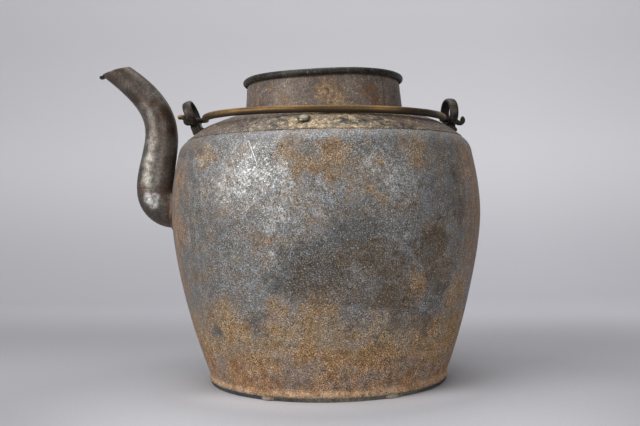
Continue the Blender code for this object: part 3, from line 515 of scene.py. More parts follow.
def makeWallMaterial(look):
    material, tree, shader, place = newMaterial("tarnishedPewterSheet")
    warp = addNode(tree, "ShaderNodeTexNoise", {"Vector": place, "Scale": perMm(look["blotch"]), "Detail": 5.0,
                                                "Roughness": 0.65})
    push = addNode(tree, "ShaderNodeVectorMath", {0: warp.outputs[1], 1: (0.5, 0.5, 0.5)}, operation="SUBTRACT")
    push = addNode(tree, "ShaderNodeVectorMath", {0: push, "Scale": 26.0 * mm}, operation="SCALE")
    bent = addNode(tree, "ShaderNodeVectorMath", {0: place, 1: push}, operation="ADD").outputs[0]
    height = addNode(tree, "ShaderNodeSeparateXYZ", {0: bent}).outputs["Z"]
    trueHeight = addNode(tree, "ShaderNodeSeparateXYZ", {0: place}).outputs["Z"]

    seed = look["seed"]
    cloud = noiseField(tree, place, look["cloud"], 3.0, 0.5, seed)
    blotch = noiseField(tree, place, look["blotch"], 5.0, 0.62, seed + 1)
    patchy = noiseField(tree, place, 4.0, 4.0, 0.65, seed + 2)
    grain = noiseField(tree, place, look["grain"], 2.0, 0.8, seed + 3)
    fleck = noiseField(tree, place, look["grain"], 2.0, 0.8, seed + 4)
    coarse = noiseField(tree, place, look["coarse"], 4.0, 0.8, seed + 5)

    # Bare metal under its skin
    colour = mixColour(tree, stepBetween(tree, cloud, 0.40, 0.60), "#69645f", "#797571")
    colour = mixColour(tree, stepBetween(tree, blotch, 0.46, 0.60, 0.0, 0.9), colour, "#826f5b")
    colour = mixColour(tree, stepBetween(tree, patchy, 0.52, 0.62, 0.0, 0.75), colour, "#69727b")
    torn = noiseField(tree, place, 8.0, 6.0, 0.7, seed + 12)
    cold = ragged(tree, patchMask(tree, bent, look["dark"]), torn, 1.2)
    umber = ragged(tree, patchMask(tree, bent, look["umber"]), torn, -1.6)
    umber = combine(tree, umber, stepBetween(tree, blotch, 0.38, 0.58, 0.5, 1.0))
    dark = combine(tree, cold, umber, "MAXIMUM")
    colour = mixColour(tree, combine(tree, cold, 0.64), colour, "#403f3d")
    colour = mixColour(tree, combine(tree, umber, 0.72), colour, "#4a3a27")

    # Baked dirt, tan above, redder toward the foot, with a paler lip
    low = stepBetween(tree, height, look["lowOchreTop"] * mm, (look["lowOchreTop"] - 24.0) * mm)
    stained = combine(tree, combine(tree, ragged(tree, patchMask(tree, bent, look["ochre"]), torn), 0.78),
                      ragged(tree, low, torn, 1.0), "MAXIMUM")
    stained = combine(tree, stained, stepBetween(tree, blotch, 0.34, 0.60, 0.45, 1.0))
    stained = combine(tree, stained, stepBetween(tree, dark, 0.1, 0.9, 1.0, 0.3))
    dirt = mixColour(tree, stepBetween(tree, blotch, 0.40, 0.60), "#ad8857", "#8d673b")
    dirt = mixColour(tree, stepBetween(tree, patchy, 0.5, 0.62, 0.0, 0.9), dirt, "#5f452a")
    dirt = mixColour(tree, stepBetween(tree, height, 34.0 * mm, 10.0 * mm, 0.0, 0.82), dirt, "#8b542b")
    colour = mixColour(tree, combine(tree, stained, 0.84), colour, dirt)
    brown = combine(tree, patchMask(tree, bent, look["brown"]), stepBetween(tree, patchy, 0.36, 0.58, 0.45, 1.0))
    colour = mixColour(tree, combine(tree, brown, 0.9), colour, "#8c633c")
    washed = combine(tree, stepBetween(tree, trueHeight, 134.5 * mm, 138.0 * mm),
                     stepBetween(tree, blotch, 0.46, 0.60, 0.0, 0.75))
    colour = mixColour(tree, washed, colour, "#6d5d4d")
    lip = stepBetween(tree, trueHeight, 7.6 * mm, 4.8 * mm)
    lip = combine(tree, lip, stepBetween(tree, blotch, 0.38, 0.60, 1.0, 0.55))
    colour = mixColour(tree, combine(tree, lip, 0.85), colour, "#c49c73")
    colour = mixColour(tree, stepBetween(tree, trueHeight, 3.5 * mm, 2.5 * mm, 0.0, 0.8), colour, "#77706a")

    # Rubbed places, scratches and the speckle over all of it, with painted highlights mixed in
    bentLittle = addNode(tree, "ShaderNodeVectorMath", {0: place, 1: addNode(
        tree, "ShaderNodeVectorMath", {0: push, "Scale": 0.45}, operation="SCALE")}, operation="ADD").outputs[0]
    frost = combine(tree, ragged(tree, patchMask(tree, bentLittle, look["silver"]), torn, 2.0),
                    stepBetween(tree, patchy, 0.38, 0.58, 0.35, 0.9))
    # Painted highlight: the pale patches join the rubbed frost in lightening the wall toward pale grey.
    paintedSheen = combine(tree, patchMask(tree, bent, look["paintedSheen"]), stepBetween(tree, patchy, 0.38, 0.60, 0.2, 0.8))
    frostAndPaintedSheen = combine(tree, frost, paintedSheen, "MAXIMUM")
    colour = mixColour(tree, combine(tree, frostAndPaintedSheen, 0.40), colour, "#989899")
    # Painted highlight: a narrow bluish, bright band on the wall just under the shoulder's edge, strongest on the left
    # half.
    frontX = addNode(tree, "ShaderNodeSeparateXYZ", {0: bent}).outputs["X"]
    paintedSeamHighlight = combine(tree, stepBetween(tree, trueHeight, 131.5 * mm, 134.6 * mm),
                   stepBetween(tree, trueHeight, 138.6 * mm, 136.6 * mm))
    paintedSeamHighlight = combine(tree, paintedSeamHighlight, combine(tree, stepBetween(tree, frontX, -64.0 * mm, -40.0 * mm, 0.2, 1.0),
                                       stepBetween(tree, frontX, 48.0 * mm, -2.0 * mm, 0.3, 1.0)))
    paintedSeamHighlight = combine(tree, paintedSeamHighlight, stepBetween(tree, patchy, 0.36, 0.60, 0.35, 1.0))
    colour = mixColour(tree, combine(tree, paintedSeamHighlight, 0.46), colour, "#949ba6")
    warm = combine(tree, stained, combine(tree, umber, 0.5), "MAXIMUM")
    lightTone = mixColour(tree, warm, "#bfbeba", "#cdae80")
    darkTone = mixColour(tree, warm, "#242527", "#2b1e12")
    calm = stepBetween(tree, noiseField(tree, place, 16.0, 2.0, 0.5, seed + 11), 0.40, 0.58, 0.72, 1.0)
    calm = combine(tree, calm, stepBetween(tree, stained, 0.1, 0.9, 1.0, 1.3))
    sideways = addNode(tree, "ShaderNodeMath", {0: addNode(tree, "ShaderNodeSeparateXYZ", {0: place}).outputs["X"]},
                       operation="ABSOLUTE").outputs[0]
    calm = combine(tree, calm, stepBetween(tree, sideways, 55.0 * mm, 82.0 * mm, 1.0, 0.7))
    lit = combine(tree, stepBetween(tree, grain, 0.50, 0.61, 0.0, 0.84), calm)
    lit = combine(tree, lit, stepBetween(tree, dark, 0.0, 1.0, 1.0, 0.62))
    shaded = combine(tree, stepBetween(tree, fleck, 0.50, 0.39, 0.0, 0.86), calm)
    colour = mixColour(tree, shaded, colour, darkTone)
    colour = mixColour(tree, lit, colour, lightTone)
    dull = stepBetween(tree, coarse, 0.36, 0.64, 0.89, 1.18)
    uneven = combine(tree, stepBetween(tree, stained, 0.1, 0.9, 0.16, 0.36),
                     stepBetween(tree, patchy, 0.34, 0.66, -1.0, 1.0))
    dull = combine(tree, dull, combine(tree, uneven, 1.0, "ADD"))
    # Wiping has left upright streaks round the sides.
    upright = addNode(tree, "ShaderNodeVectorMath", {0: place, 1: (1.0, 1.0, 0.1)}, operation="MULTIPLY").outputs[0]
    streak = stepBetween(tree, noiseField(tree, upright, 2.2, 3.0, 0.6, seed + 13), 0.36, 0.64, -0.13, 0.13)
    streak = combine(tree, streak, stepBetween(tree, sideways, 50.0 * mm, 76.0 * mm))
    dull = combine(tree, dull, combine(tree, streak, 1.0, "ADD"))
    dullColour = addNode(tree, "ShaderNodeCombineColor", {0: dull, 1: dull, 2: dull}).outputs[0]
    colour = mixColour(tree, 1.0, colour, dullColour, "MULTIPLY")
    pits = sparseDots(tree, place, 1.05, 0.33, seed + 14, stepBetween(tree, coarse, 0.36, 0.64, 0.8, 0.2))
    pits = combine(tree, pits, stepBetween(tree, sideways, 50.0 * mm, 80.0 * mm, 0.85, 0.25))
    colour = mixColour(tree, pits, colour, "#15120f")
    # Painted glints: near-white specks in the frost and the painted pale patches, and sparse dots that thin out on
    # stains and at the sides; real scratches join them below.
    scratchesAndPaintedGlints = combine(tree, frostAndPaintedSheen, stepBetween(tree, grain, 0.57, 0.66, 0.0, 0.35))
    bright = combine(tree, stepBetween(tree, coarse, 0.36, 0.64, 0.1, 0.44), combine(tree, frostAndPaintedSheen, 0.3), "ADD")
    bright = sparseDots(tree, place, 1.05, 0.33, seed + 15, bright)
    bright = combine(tree, bright, stepBetween(tree, sideways, 50.0 * mm, 80.0 * mm, 1.0, 0.3))
    scratchesAndPaintedGlints = combine(tree, scratchesAndPaintedGlints, combine(tree, bright, stepBetween(tree, warm, 0.0, 1.0, 1.0, 0.6)), "MAXIMUM")
    marks = combine(tree, scoreMarks(tree, place, 24.0, seed + 7, 0.72),
                    scoreMarks(tree, place, -58.0, seed + 8, 0.73), "MAXIMUM")
    scrawl = combine(tree, noiseField(tree, place, 7.0, 3.0, 0.6, seed + 9), 0.5, "SUBTRACT")
    scrawl = stepBetween(tree, addNode(tree, "ShaderNodeMath", {0: scrawl}, operation="ABSOLUTE"), 0.012, 0.004)
    marks = combine(tree, marks, combine(tree, scrawl, 0.8), "MAXIMUM")
    curl = combine(tree, noiseField(tree, place, 3.6, 2.0, 0.6, seed + 10), 0.5, "SUBTRACT")
    curl = stepBetween(tree, addNode(tree, "ShaderNodeMath", {0: curl}, operation="ABSOLUTE"), 0.024, 0.008)
    marks = combine(tree, marks, combine(tree, curl, stepBetween(tree, frost, 0.2, 0.6)), "MAXIMUM")
    marks = combine(tree, marks, stepBetween(tree, frostAndPaintedSheen, 0.05, 0.5, 0.06, 0.8))
    marks = combine(tree, marks, stepBetween(tree, coarse, 0.42, 0.58, 0.2, 1.0))
    scratchesAndPaintedGlints = combine(tree, scratchesAndPaintedGlints, marks, "MAXIMUM")
    for start, end, width, strength in look["scratches"]:
        worn = combine(tree, scratchMask(tree, place, start, end, width),
                       stepBetween(tree, coarse, 0.40, 0.54, 0.4 * strength, strength))
        scratchesAndPaintedGlints = combine(tree, scratchesAndPaintedGlints, worn, "MAXIMUM")
    colour = mixColour(tree, combine(tree, scratchesAndPaintedGlints, 0.88), colour, "#e8e8e3")

    inside = addNode(tree, "ShaderNodeAttribute", attribute_name="inside").outputs["Fac"]
    within = stepBetween(tree, inside, 0.6, 0.9)
    colour = mixColour(tree, combine(tree, within, 0.96), colour, "#3b342c")
    tree.links.new(colour, shader.inputs["Base Color"])

    crusted = combine(tree, stained, brown, "MAXIMUM")
    bare = combine(tree, combine(tree, crusted, -0.36), 0.46, "ADD")
    bare = combine(tree, combine(tree, scratchesAndPaintedGlints, 0.3), bare, "ADD")
    tree.links.new(addNode(tree, "ShaderNodeClamp", {"Value": bare}).outputs[0], shader.inputs["Metallic"])
    rough = combine(tree, combine(tree, crusted, 0.2), 0.58, "ADD")
    rough = combine(tree, rough, combine(tree, scratchesAndPaintedGlints, -0.16), "ADD")
    rough = combine(tree, rough, stepBetween(tree, coarse, 0.3, 0.7, -0.08, 0.08), "ADD")
    tree.links.new(rough, shader.inputs["Roughness"])

    hammer = noiseField(tree, place, look["hammer"], 1.0, 0.4, seed + 6)
    soft = addNode(tree, "ShaderNodeBump", {"Strength": 0.5, "Distance": 0.4 * mm, "Height": hammer})
    crust = combine(tree, combine(tree, crusted, patchy), combine(tree, grain, coarse, "ADD"), "ADD")
    fine = addNode(tree, "ShaderNodeBump", {"Strength": 0.5, "Distance": 0.12 * mm, "Height": crust,
                                            "Normal": soft})
    tree.links.new(fine.outputs[0], shader.inputs["Normal"])
    return material


wallPewter = makeWallMaterial(wallLook)


def makeSkinMaterial(name, look):
    # Tarnished sheet or casting in two tones with stains, speckle, worn glints and fine bump.
    material, tree, shader, place = newMaterial(name)
    seed = look["seed"]
    cloud = noiseField(tree, place, look["cloud"], 3.0, 0.5, seed)
    blotch = noiseField(tree, place, look["blotch"], 5.0, 0.62, seed + 1)
    grain = noiseField(tree, place, look["grain"], 2.0, 0.6, seed + 2)
    patchy = noiseField(tree, place, look["blotch"] * 0.4, 3.0, 0.6, seed + 3)
    colour = mixColour(tree, stepBetween(tree, cloud, 0.38, 0.62), look["low"], look["high"])
    stained = stepBetween(tree, blotch, *look["stainSteps"])
    if "blots" in look:
        # Small hard-edged spots of one colour, only where the patches allow them.
        blotColour, blotSize, blotPlaces = look["blots"]
        blots = stepBetween(tree, noiseField(tree, place, blotSize, 4.0, 0.7, seed + 4), 0.50, 0.57)
        blots = combine(tree, blots, patchMask(tree, place, blotPlaces))
    for colourName, patches in look.get("patches", {}).items():
        spot = combine(tree, patchMask(tree, place, patches),
                       stepBetween(tree, patchy, 0.36, 0.56, look.get("patchFloor", 0.25), 1.0))
        colour = mixColour(tree, spot, colour, colourName)
    colour = mixColour(tree, stained, colour, look["stain"])
    worn = stepBetween(tree, grain, *look["wornSteps"])
    worn = combine(tree, worn, stepBetween(tree, patchy, 0.45, 0.65))
    colour = mixColour(tree, worn, colour, look["worn"])
    speckle = stepBetween(tree, grain, 0.3, 0.7, 1.0 - look["speckle"], 1.0 + look["speckle"])
    mottle = look.get("mottle", 0.1)
    speckle = combine(tree, speckle, stepBetween(tree, patchy, 0.34, 0.66, 1.0 - mottle, 1.0 + mottle))
    speckleColour = addNode(tree, "ShaderNodeCombineColor", {0: speckle, 1: speckle, 2: speckle}).outputs[0]
    colour = mixColour(tree, 1.0, colour, speckleColour, "MULTIPLY")
    if "lapDeg" in look:
        # The sheet's own lapped seam, running up at this bearing: a step with dirt along it.
        parts = addNode(tree, "ShaderNodeSeparateXYZ", {0: place})
        around = combine(tree, parts.outputs["Y"], parts.outputs["X"], "ARCTAN2")
        lap = math.radians(look["lapDeg"])
        dirty = combine(tree, stepBetween(tree, around, lap - 0.010, lap), stepBetween(tree, around, lap + 0.03, lap))
        colour = mixColour(tree, combine(tree, dirty, 0.6), colour, "#2e2822")
        step = stepBetween(tree, around, lap - 0.006, lap + 0.006)
    if "blots" in look:
        colour = mixColour(tree, combine(tree, blots, 0.9), colour, blotColour)
    bare = combine(tree, combine(tree, stained, -0.5 * look["metal"]), look["metal"], "ADD")
    bare = combine(tree, combine(tree, worn, 0.3), bare, "ADD")
    # Inside faces take the inner colour: tarnish inside the sheet pieces, painted shade on the bail's underside and
    # ends and in the ears' eyes.
    if "inner" in look:
        inside = addNode(tree, "ShaderNodeAttribute", attribute_name="inside").outputs["Fac"]
        insideGrimeAndPaintedShade = stepBetween(tree, inside, 0.55, 0.9)
        colour = mixColour(tree, combine(tree, insideGrimeAndPaintedShade, 0.88), colour, look["inner"])
        bare = combine(tree, bare, combine(tree, combine(tree, insideGrimeAndPaintedShade, -0.8), 1.0, "ADD"))
    tree.links.new(colour, shader.inputs["Base Color"])
    tree.links.new(addNode(tree, "ShaderNodeClamp", {"Value": bare}).outputs[0], shader.inputs["Metallic"])
    rough = combine(tree, combine(tree, stained, 0.15), look["rough"], "ADD")
    rough = combine(tree, rough, stepBetween(tree, patchy, 0.3, 0.7, -0.07, 0.07), "ADD")
    if "inner" in look:
        rough = combine(tree, rough, combine(tree, insideGrimeAndPaintedShade, 0.22), "ADD")
    tree.links.new(rough, shader.inputs["Roughness"])
    slow = addNode(tree, "ShaderNodeBump", {"Strength": 0.5, "Distance": look["waveDepth"] * mm, "Height": blotch})
    if "lapDeg" in look:
        slow = addNode(tree, "ShaderNodeBump", {"Strength": 0.7, "Distance": 0.4 * mm, "Height": step, "Normal": slow})
    fine = addNode(tree, "ShaderNodeBump", {"Strength": 0.5, "Distance": look["grainDepth"] * mm, "Height": grain,
                                            "Normal": slow})
    tree.links.new(fine.outputs[0], shader.inputs["Normal"])
    return material


# The same pewter on the shoulder, browner, with dry ochre crust and black specks near the neck.
shoulderPewter = makeSkinMaterial("shoulderPewterSheet", {
    "seed": 11.0, "cloud": 30.0, "blotch": 7.0, "grain": 0.8, "low": "#695c52", "high": "#867969",
    "stain": "#8c765b", "stainSteps": (0.5, 0.7, 0.0, 0.6), "worn": "#c2bcb0", "wornSteps": (0.58, 0.68, 0.0, 0.7),
    "speckle": 0.62, "mottle": 0.5, "metal": 0.2, "rough": 0.68, "waveDepth": 0.3, "grainDepth": 0.2,
    "inner": "#3b342c",
    "blots": ("#1f1b16", 2.6, [(10.0, -74.5, 146.0, 11.0), (21.0, -73.0, 145.5, 12.0), (30.0, -70.0, 144.5, 11.0),
                               (42.0, -66.0, 141.0, 8.0), (-40.0, -64.0, 143.0, 9.0), (-24.0, -72.0, 144.0, 8.0)]),
    "patches": {"#5c5149": [(-58.0, -48.0, 144.0, 32.0), (58.0, -46.0, 144.0, 34.0)],
                "#a28e70": [(12.0, -74.0, 145.0, 21.0), (-8.0, -76.0, 144.0, 18.0), (30.0, -69.0, 142.0, 7.0)],
                "#6a553f": [(43.0, -62.0, 144.0, 13.0)],
                "#211c17": [(11.0, -74.5, 144.8, 5.0), (20.0, -72.5, 144.8, 6.5), (28.0, -70.0, 144.6, 5.0),
                            (44.0, -66.0, 141.0, 4.0), (36.0, -71.0, 141.0, 3.5), (26.0, -75.0, 141.5, 3.0)]}})

# Rolled sheet of the neck: thinner tarnish, brown over grey, smoother than the body, lapped at the front right.
neckPewter = makeSkinMaterial("neckPewterSheet", {
    "seed": 17.0, "cloud": 24.0, "blotch": 6.0, "grain": 0.8, "low": "#63574f", "high": "#7d7066",
    "stain": "#80674f", "stainSteps": (0.50, 0.64, 0.0, 0.75), "worn": "#b0aba4", "wornSteps": (0.58, 0.70, 0.0, 0.7),
    "speckle": 0.42, "mottle": 0.22, "metal": 0.3, "rough": 0.6, "waveDepth": 0.25, "grainDepth": 0.1, "inner": "#2e2923",
    "lapDeg": -43.6,
    "patches": {"#957a5a": [(1.0, -45.0, 162.0, 9.0), (7.0, -45.0, 157.0, 8.0)],
                "#76563f": [(25.0, -38.0, 163.0, 8.0), (29.0, -36.0, 158.0, 6.0)],
                "#4b443f": [(41.0, -19.0, 160.0, 13.0), (43.0, 10.0, 162.0, 18.0)]}})

# The wired rim, handled and wet most: nearly black with a green-grey bloom.
rimPewter = makeSkinMaterial("wiredRimTarnish", {
    "seed": 23.0, "cloud": 16.0, "blotch": 5.0, "grain": 0.9, "low": "#171511", "high": "#2d2a23",
    "stain": "#403d30", "stainSteps": (0.48, 0.62, 0.0, 0.75), "worn": "#8f8e82", "wornSteps": (0.60, 0.70, 0.0, 0.7),
    "speckle": 0.45, "mottle": 0.45, "metal": 0.36, "rough": 0.5, "waveDepth": 0.35, "grainDepth": 0.12})

# Spout: the smoothest sheet on the pot, burnished by hands, with brown tarnish over grey metal and painted highlights.
spoutPewter = makeSkinMaterial("burnishedSpoutPewter", {
    "seed": 31.0, "cloud": 22.0, "blotch": 7.0, "grain": 0.9, "low": "#59514b", "high": "#787068",
    "stain": "#5c4636", "stainSteps": (0.48, 0.68, 0.0, 0.66), "worn": "#a3a09a", "wornSteps": (0.56, 0.70, 0.0, 0.15),
    "speckle": 0.3, "mottle": 0.13, "metal": 0.76, "rough": 0.43, "waveDepth": 0.26, "grainDepth": 0.08,
    "inner": "#2b2622", "patchFloor": 0.35,
    # Painted highlights: pale grey patches down the tube's left side and near-white spots on the elbow.
    "patches": {"#96928b": [(-102.5, -8.0, 117.0, 8.0), (-101.5, -7.5, 128.0, 8.0), (-101.0, -6.5, 140.0, 8.0)],
                "#eceae6": [(-101.6, -9.0, 106.6, 5.0), (-99.4, -9.8, 103.6, 3.8), (-98.6, -10.0, 107.6, 3.4)],
                "#4a3829": [(-87.0, -6.0, 97.0, 9.0), (-92.0, -7.0, 156.0, 9.0), (-90.5, -5.0, 146.0, 7.0),
                            (-108.0, -5.0, 166.0, 6.0), (-99.0, -7.0, 162.0, 5.0)],
                "#4f453c": [(-118.0, -4.0, 181.0, 12.0), (-112.0, -6.0, 168.0, 8.0)],
                "#787b7d": [(-103.0, -5.0, 157.0, 6.0), (-112.0, -4.0, 172.0, 5.0)]}})

# Soft solder, wiped while hot and gone dull: rough grey-brown lumps.
dullSolder = makeSkinMaterial("dullSolder", {
    "seed": 37.0, "cloud": 9.0, "blotch": 3.0, "grain": 0.8, "low": "#83796b", "high": "#a39989",
    "stain": "#7a5a3f", "stainSteps": (0.48, 0.68, 0.0, 0.7), "worn": "#aaa59b", "wornSteps": (0.64, 0.74, 0.0, 0.5),
    "speckle": 0.2, "metal": 0.3, "rough": 0.62, "waveDepth": 0.3, "grainDepth": 0.12})

# The same solder at the spout's root, browned by years of heat and wine.
rootSolder = makeSkinMaterial("brownedSolder", {
    "seed": 39.0, "cloud": 9.0, "blotch": 3.0, "grain": 0.8, "low": "#574536", "high": "#735c47",
    "stain": "#86593a", "stainSteps": (0.45, 0.65, 0.0, 0.7), "worn": "#928a7e", "wornSteps": (0.64, 0.74, 0.0, 0.4),
    "speckle": 0.25, "metal": 0.25, "rough": 0.66, "waveDepth": 0.3, "grainDepth": 0.12})

# Black-brown casting of the ears, worn to dull grey on its edges.
earMetal = makeSkinMaterial("blackenedCasting", {
    "seed": 41.0, "cloud": 7.0, "blotch": 2.6, "grain": 0.7, "low": "#241f1a", "high": "#433b32",
    "stain": "#574c3d", "stainSteps": (0.52, 0.7, 0.0, 0.7), "worn": "#8d887f", "wornSteps": (0.58, 0.72, 0.0, 0.6),
    # Painted shade: the eyes' inner faces near black, and near-black patches over the eyes where the wire runs through.
    "speckle": 0.25, "metal": 0.5, "rough": 0.46, "waveDepth": 0.3, "grainDepth": 0.06, "inner": "#100e0c",
    "patches": {"#14110e": [(-72.0, -1.0, 147.5, 8.5), (75.0, -1.0, 146.5, 7.0)],
                "#29231d": [(-75.0, -2.0, 156.0, 5.0)]}})

# Rivet head: the pewter colour, rubbed bright on its dome.
rivetMetal = makeSkinMaterial("rubbedRivet", {
    "seed": 43.0, "cloud": 3.0, "blotch": 1.6, "grain": 0.6, "low": "#605b50", "high": "#867f6c",
    "stain": "#4c4a3f", "stainSteps": (0.5, 0.7, 0.0, 0.6), "worn": "#c4c5bd", "wornSteps": (0.58, 0.7, 0.0, 0.7),
    "speckle": 0.15, "metal": 0.6, "rough": 0.38, "waveDepth": 0.12, "grainDepth": 0.04})

# Base sheet: sooty underside and edge.
baseMetal = makeSkinMaterial("sootyBaseSheet", {
    "seed": 47.0, "cloud": 26.0, "blotch": 5.0, "grain": 0.9, "low": "#3a3733", "high": "#524d47",
    "stain": "#5a4b3a", "stainSteps": (0.52, 0.72, 0.0, 0.6), "worn": "#8b8780", "wornSteps": (0.60, 0.72, 0.0, 0.6),
    "speckle": 0.4, "metal": 0.3, "rough": 0.62, "waveDepth": 0.2, "grainDepth": 0.1, "patchFloor": 0.5,
    "patches": {"#70665a": [(8.0, -68.0, 2.0, 34.0), (40.0, -56.0, 2.0, 18.0)],
                "#3a3d42": [(-46.0, -51.0, 1.5, 24.0)]}})

# Drawn brass wire, olive-brown with age, worn yellower in spots; its underside and its ends by the ears are painted
# dark as shade.
bailBrass = makeSkinMaterial("agedBrassWire", {
    "seed": 53.0, "cloud": 26.0, "blotch": 6.0, "grain": 0.8, "low": "#6b502d", "high": "#957549",
    "stain": "#46341d", "stainSteps": (0.52, 0.70, 0.0, 0.8), "worn": "#bf9f6c", "wornSteps": (0.58, 0.74, 0.0, 0.7),
    "speckle": 0.2, "metal": 0.7, "rough": 0.42, "patchFloor": 0.8, "waveDepth": 0.1, "grainDepth": 0.03,
    # Painted shade: the marked underside and ends of the wire.
    "inner": "#2a2013",
    "patches": {"#5a4425": [(6.0, -66.0, 148.0, 26.0)], "#3d2f1d": [(52.0, -48.0, 149.5, 26.0)],
                # Painted shade: near-black patches on the wire's ends by the ears.
                "#15120e": [(-72.0, -1.0, 152.0, 15.0), (-76.0, 0.0, 152.0, 10.0), (71.0, -4.0, 150.0, 16.0),
                            (78.0, 0.0, 149.0, 16.0), (85.0, 0.0, 149.0, 9.0)],
                "#a88a63": [(-87.0, 0.0, 154.0, 5.0)]}})
print("finishes made")


# Body wall and shoulder

potSizes = {
    "sheet": 1.2, "gap": 0.3, "footRadius": 69.0, "footHeight": 5.0, "bellyRadius": 89.7, "bellyHeight": 98.0,
    "cornerRadius": 85.1, "cornerHeight": 131.2, "seamRadius": 79.6, "seamHeight": 139.0, "footSlope": 0.38,
    "cornerSlope": 0.22, "seamSlopeDeg": 37.0, "topSlopeDeg": 18.3, "neckRadius": 46.2, "neckFoot": 154.75,
    "sides": 288, "edgeStart": 67.5, "edgeFall": 1.15, "edgeTuck": 0.25,
    "lip": [(69.12, 5.6), (69.02, 5.25), (69.08, 4.9), (69.26, 4.55), (69.45, 4.15), (69.58, 3.7), (69.62, 3.2),
            (69.55, 2.75), (69.4, 2.4)]}
wallDents = {"Dent Depth": 1.5 * mm, "Dent Size": 45.0 * mm, "Dent Floor": 8.0 * mm, "Dent Top": 134.0 * mm,
             "Dent Fade": 26.0 * mm, "Seed": 2.0}

shoulderDents = {"Dent Depth": 0.9 * mm, "Dent Size": 8.0 * mm, "Dent Floor": 100.0 * mm, "Dent Top": 151.0 * mm,
                 "Dent Fade": 8.0 * mm, "Seed": 9.0}


def shoulderLine(steps):
    s = potSizes
    seamAngle = math.radians(s["seamSlopeDeg"])
    topAngle = math.radians(s["topSlopeDeg"])
    start = Vector((s["neckRadius"] + s["gap"] + s["sheet"] * math.sin(topAngle), s["neckFoot"]))
    end = Vector((s["seamRadius"], s["seamHeight"])) \
        + Vector((math.sin(seamAngle), math.cos(seamAngle))) * (s["sheet"] + s["gap"])
    run = end.x - start.x
    first = start + Vector((math.cos(topAngle), -math.sin(topAngle))) * run * 0.345
    second = end - Vector((math.cos(seamAngle), -math.sin(seamAngle))) * run * 0.335
    return bezierPoints(start, first, second, end, steps)


def wallLine():
    # Outside of the wall, from its flange under the shoulder down to the rolled lip.
    s = potSizes
    seamAngle = math.radians(s["seamSlopeDeg"])
    seamRun = Vector((math.cos(seamAngle), -math.sin(seamAngle)))
    seam = Vector((s["seamRadius"], s["seamHeight"]))
    corner = Vector((s["cornerRadius"], s["cornerHeight"]))
    belly = Vector((s["bellyRadius"], s["bellyHeight"]))
    foot = Vector((s["footRadius"], s["footHeight"]))
    flange = offsetOutline(shoulderLine(8), -(s["sheet"] + s["gap"]))[-2]
    cornerFall, upperFall, lowerFall = seam.y - corner.y, corner.y - belly.y, belly.y - foot.y
    cornerRun = Vector((s["cornerSlope"], -1.0))
    footRun = Vector((s["footSlope"], 1.0))
    down = Vector((0.0, -1.0))
    turn = bezierPoints(seam, seam + seamRun * cornerFall * 0.35, corner - cornerRun * cornerFall * 0.51, corner, 14)
    upper = bezierPoints(corner, corner + cornerRun * upperFall * 0.301, belly - down * upperFall * 0.361, belly, 22)
    lower = bezierPoints(belly, belly + down * lowerFall * 0.215, foot + footRun * lowerFall * 0.387, foot, 56)
    lower = [point for point in lower if point.y > s["footHeight"] + 0.9]
    lip = [Vector(point) for point in s["lip"]]
    return [flange, flange.lerp(seam, 0.5)] + turn + upper[1:] + lower[1:] + lip


def shoulderLoop():
    # The shoulder's sheet, beaten thin toward its edge so that it lies close on the wall.
    s = potSizes
    outer = shoulderLine(48)
    inner = offsetOutline(outer, -s["sheet"])
    inward = [(low - high).normalized() for high, low in zip(outer, inner)]
    for i, point in enumerate(list(outer)):
        share = min(max((point.x - s["edgeStart"]) / (outer[-1].x - s["edgeStart"]), 0.0), 1.0)
        ease = share * share * (3.0 - 2.0 * share)
        outer[i] = point + inward[i] * s["edgeFall"] * ease
        inner[i] = inner[i] + inward[i] * s["edgeTuck"] * ease
    loop = [(point, 0.0) for point in outer]
    for outerEnd, innerEnd, side in ((outer[-1], inner[-1], 1.0), (inner[0], outer[0], 0.0)):
        middle = (outerEnd + innerEnd) / 2
        for step in range(1, 6):
            loop.append((middle + Matrix.Rotation(-math.pi * step / 6, 2) @ (outerEnd - middle), 0.5))
        if side:
            loop += [(point, 1.0) for point in reversed(inner)]
    return loop


def makeBody():
    wall = turnPiece("bodyWall", sheetLoop(wallLine(), potSizes["sheet"]), potSizes["sides"], wallDents)
    bore = addObject("boreCutter", bpy.data.meshes.new("boreCutter"))
    shape = bmesh.new()
    bmesh.ops.create_cone(shape, cap_ends=True, segments=48, radius1=9.7 * mm, radius2=9.7 * mm, depth=16.0 * mm)
    bmesh.ops.transform(shape, verts=shape.verts, matrix=Matrix.Translation((-89.7 * mm, 0.0, 100.1 * mm))
                        @ Matrix.Rotation(math.pi / 2, 4, "Y"))
    shape.to_mesh(bore.data)
    shape.free()
    cutWith(wall, bore)
    removeObject(bore)
    finishPiece(wall, [wallPewter], "pot", ["body_wall"])

    shoulder = turnPiece("shoulderDome", shoulderLoop(), potSizes["sides"], shoulderDents)
    finishPiece(shoulder, [shoulderPewter], "pot", ["shoulder"])


makeBody()
print("body and shoulder made")


# Neck with its wired rim, leaning a little toward the spout

neckSizes = {"sheet": 0.9, "tuck": 2.2, "topRadius": 44.8, "rise": 14.55, "rimRise": 4.1, "rimOffset": 0.1,
             "wireRadius": 0.8, "startDeg": 215.0, "endDeg": -60.0, "leanDeg": 0.7, "sag": 0.85,
             "sagBearingDeg": -104.0, "sagSpreadDeg": 34.0, "sides": 256}


def sagRim(item):
    # The rim has been pressed down a little at the front left, the neck below it hardly at all.
    n = neckSizes
    for vertex in item.data.vertices:
        bearing = math.atan2(vertex.co.y, vertex.co.x) - math.radians(n["sagBearingDeg"])
        around = math.atan2(math.sin(bearing), math.cos(bearing)) / math.radians(n["sagSpreadDeg"])
        height = min(max(vertex.co.z / mm / (n["rise"] + n["rimRise"]), 0.0), 1.0)
        vertex.co.z -= n["sag"] * mm * math.exp(-around * around) * height * height
    item.data.update()


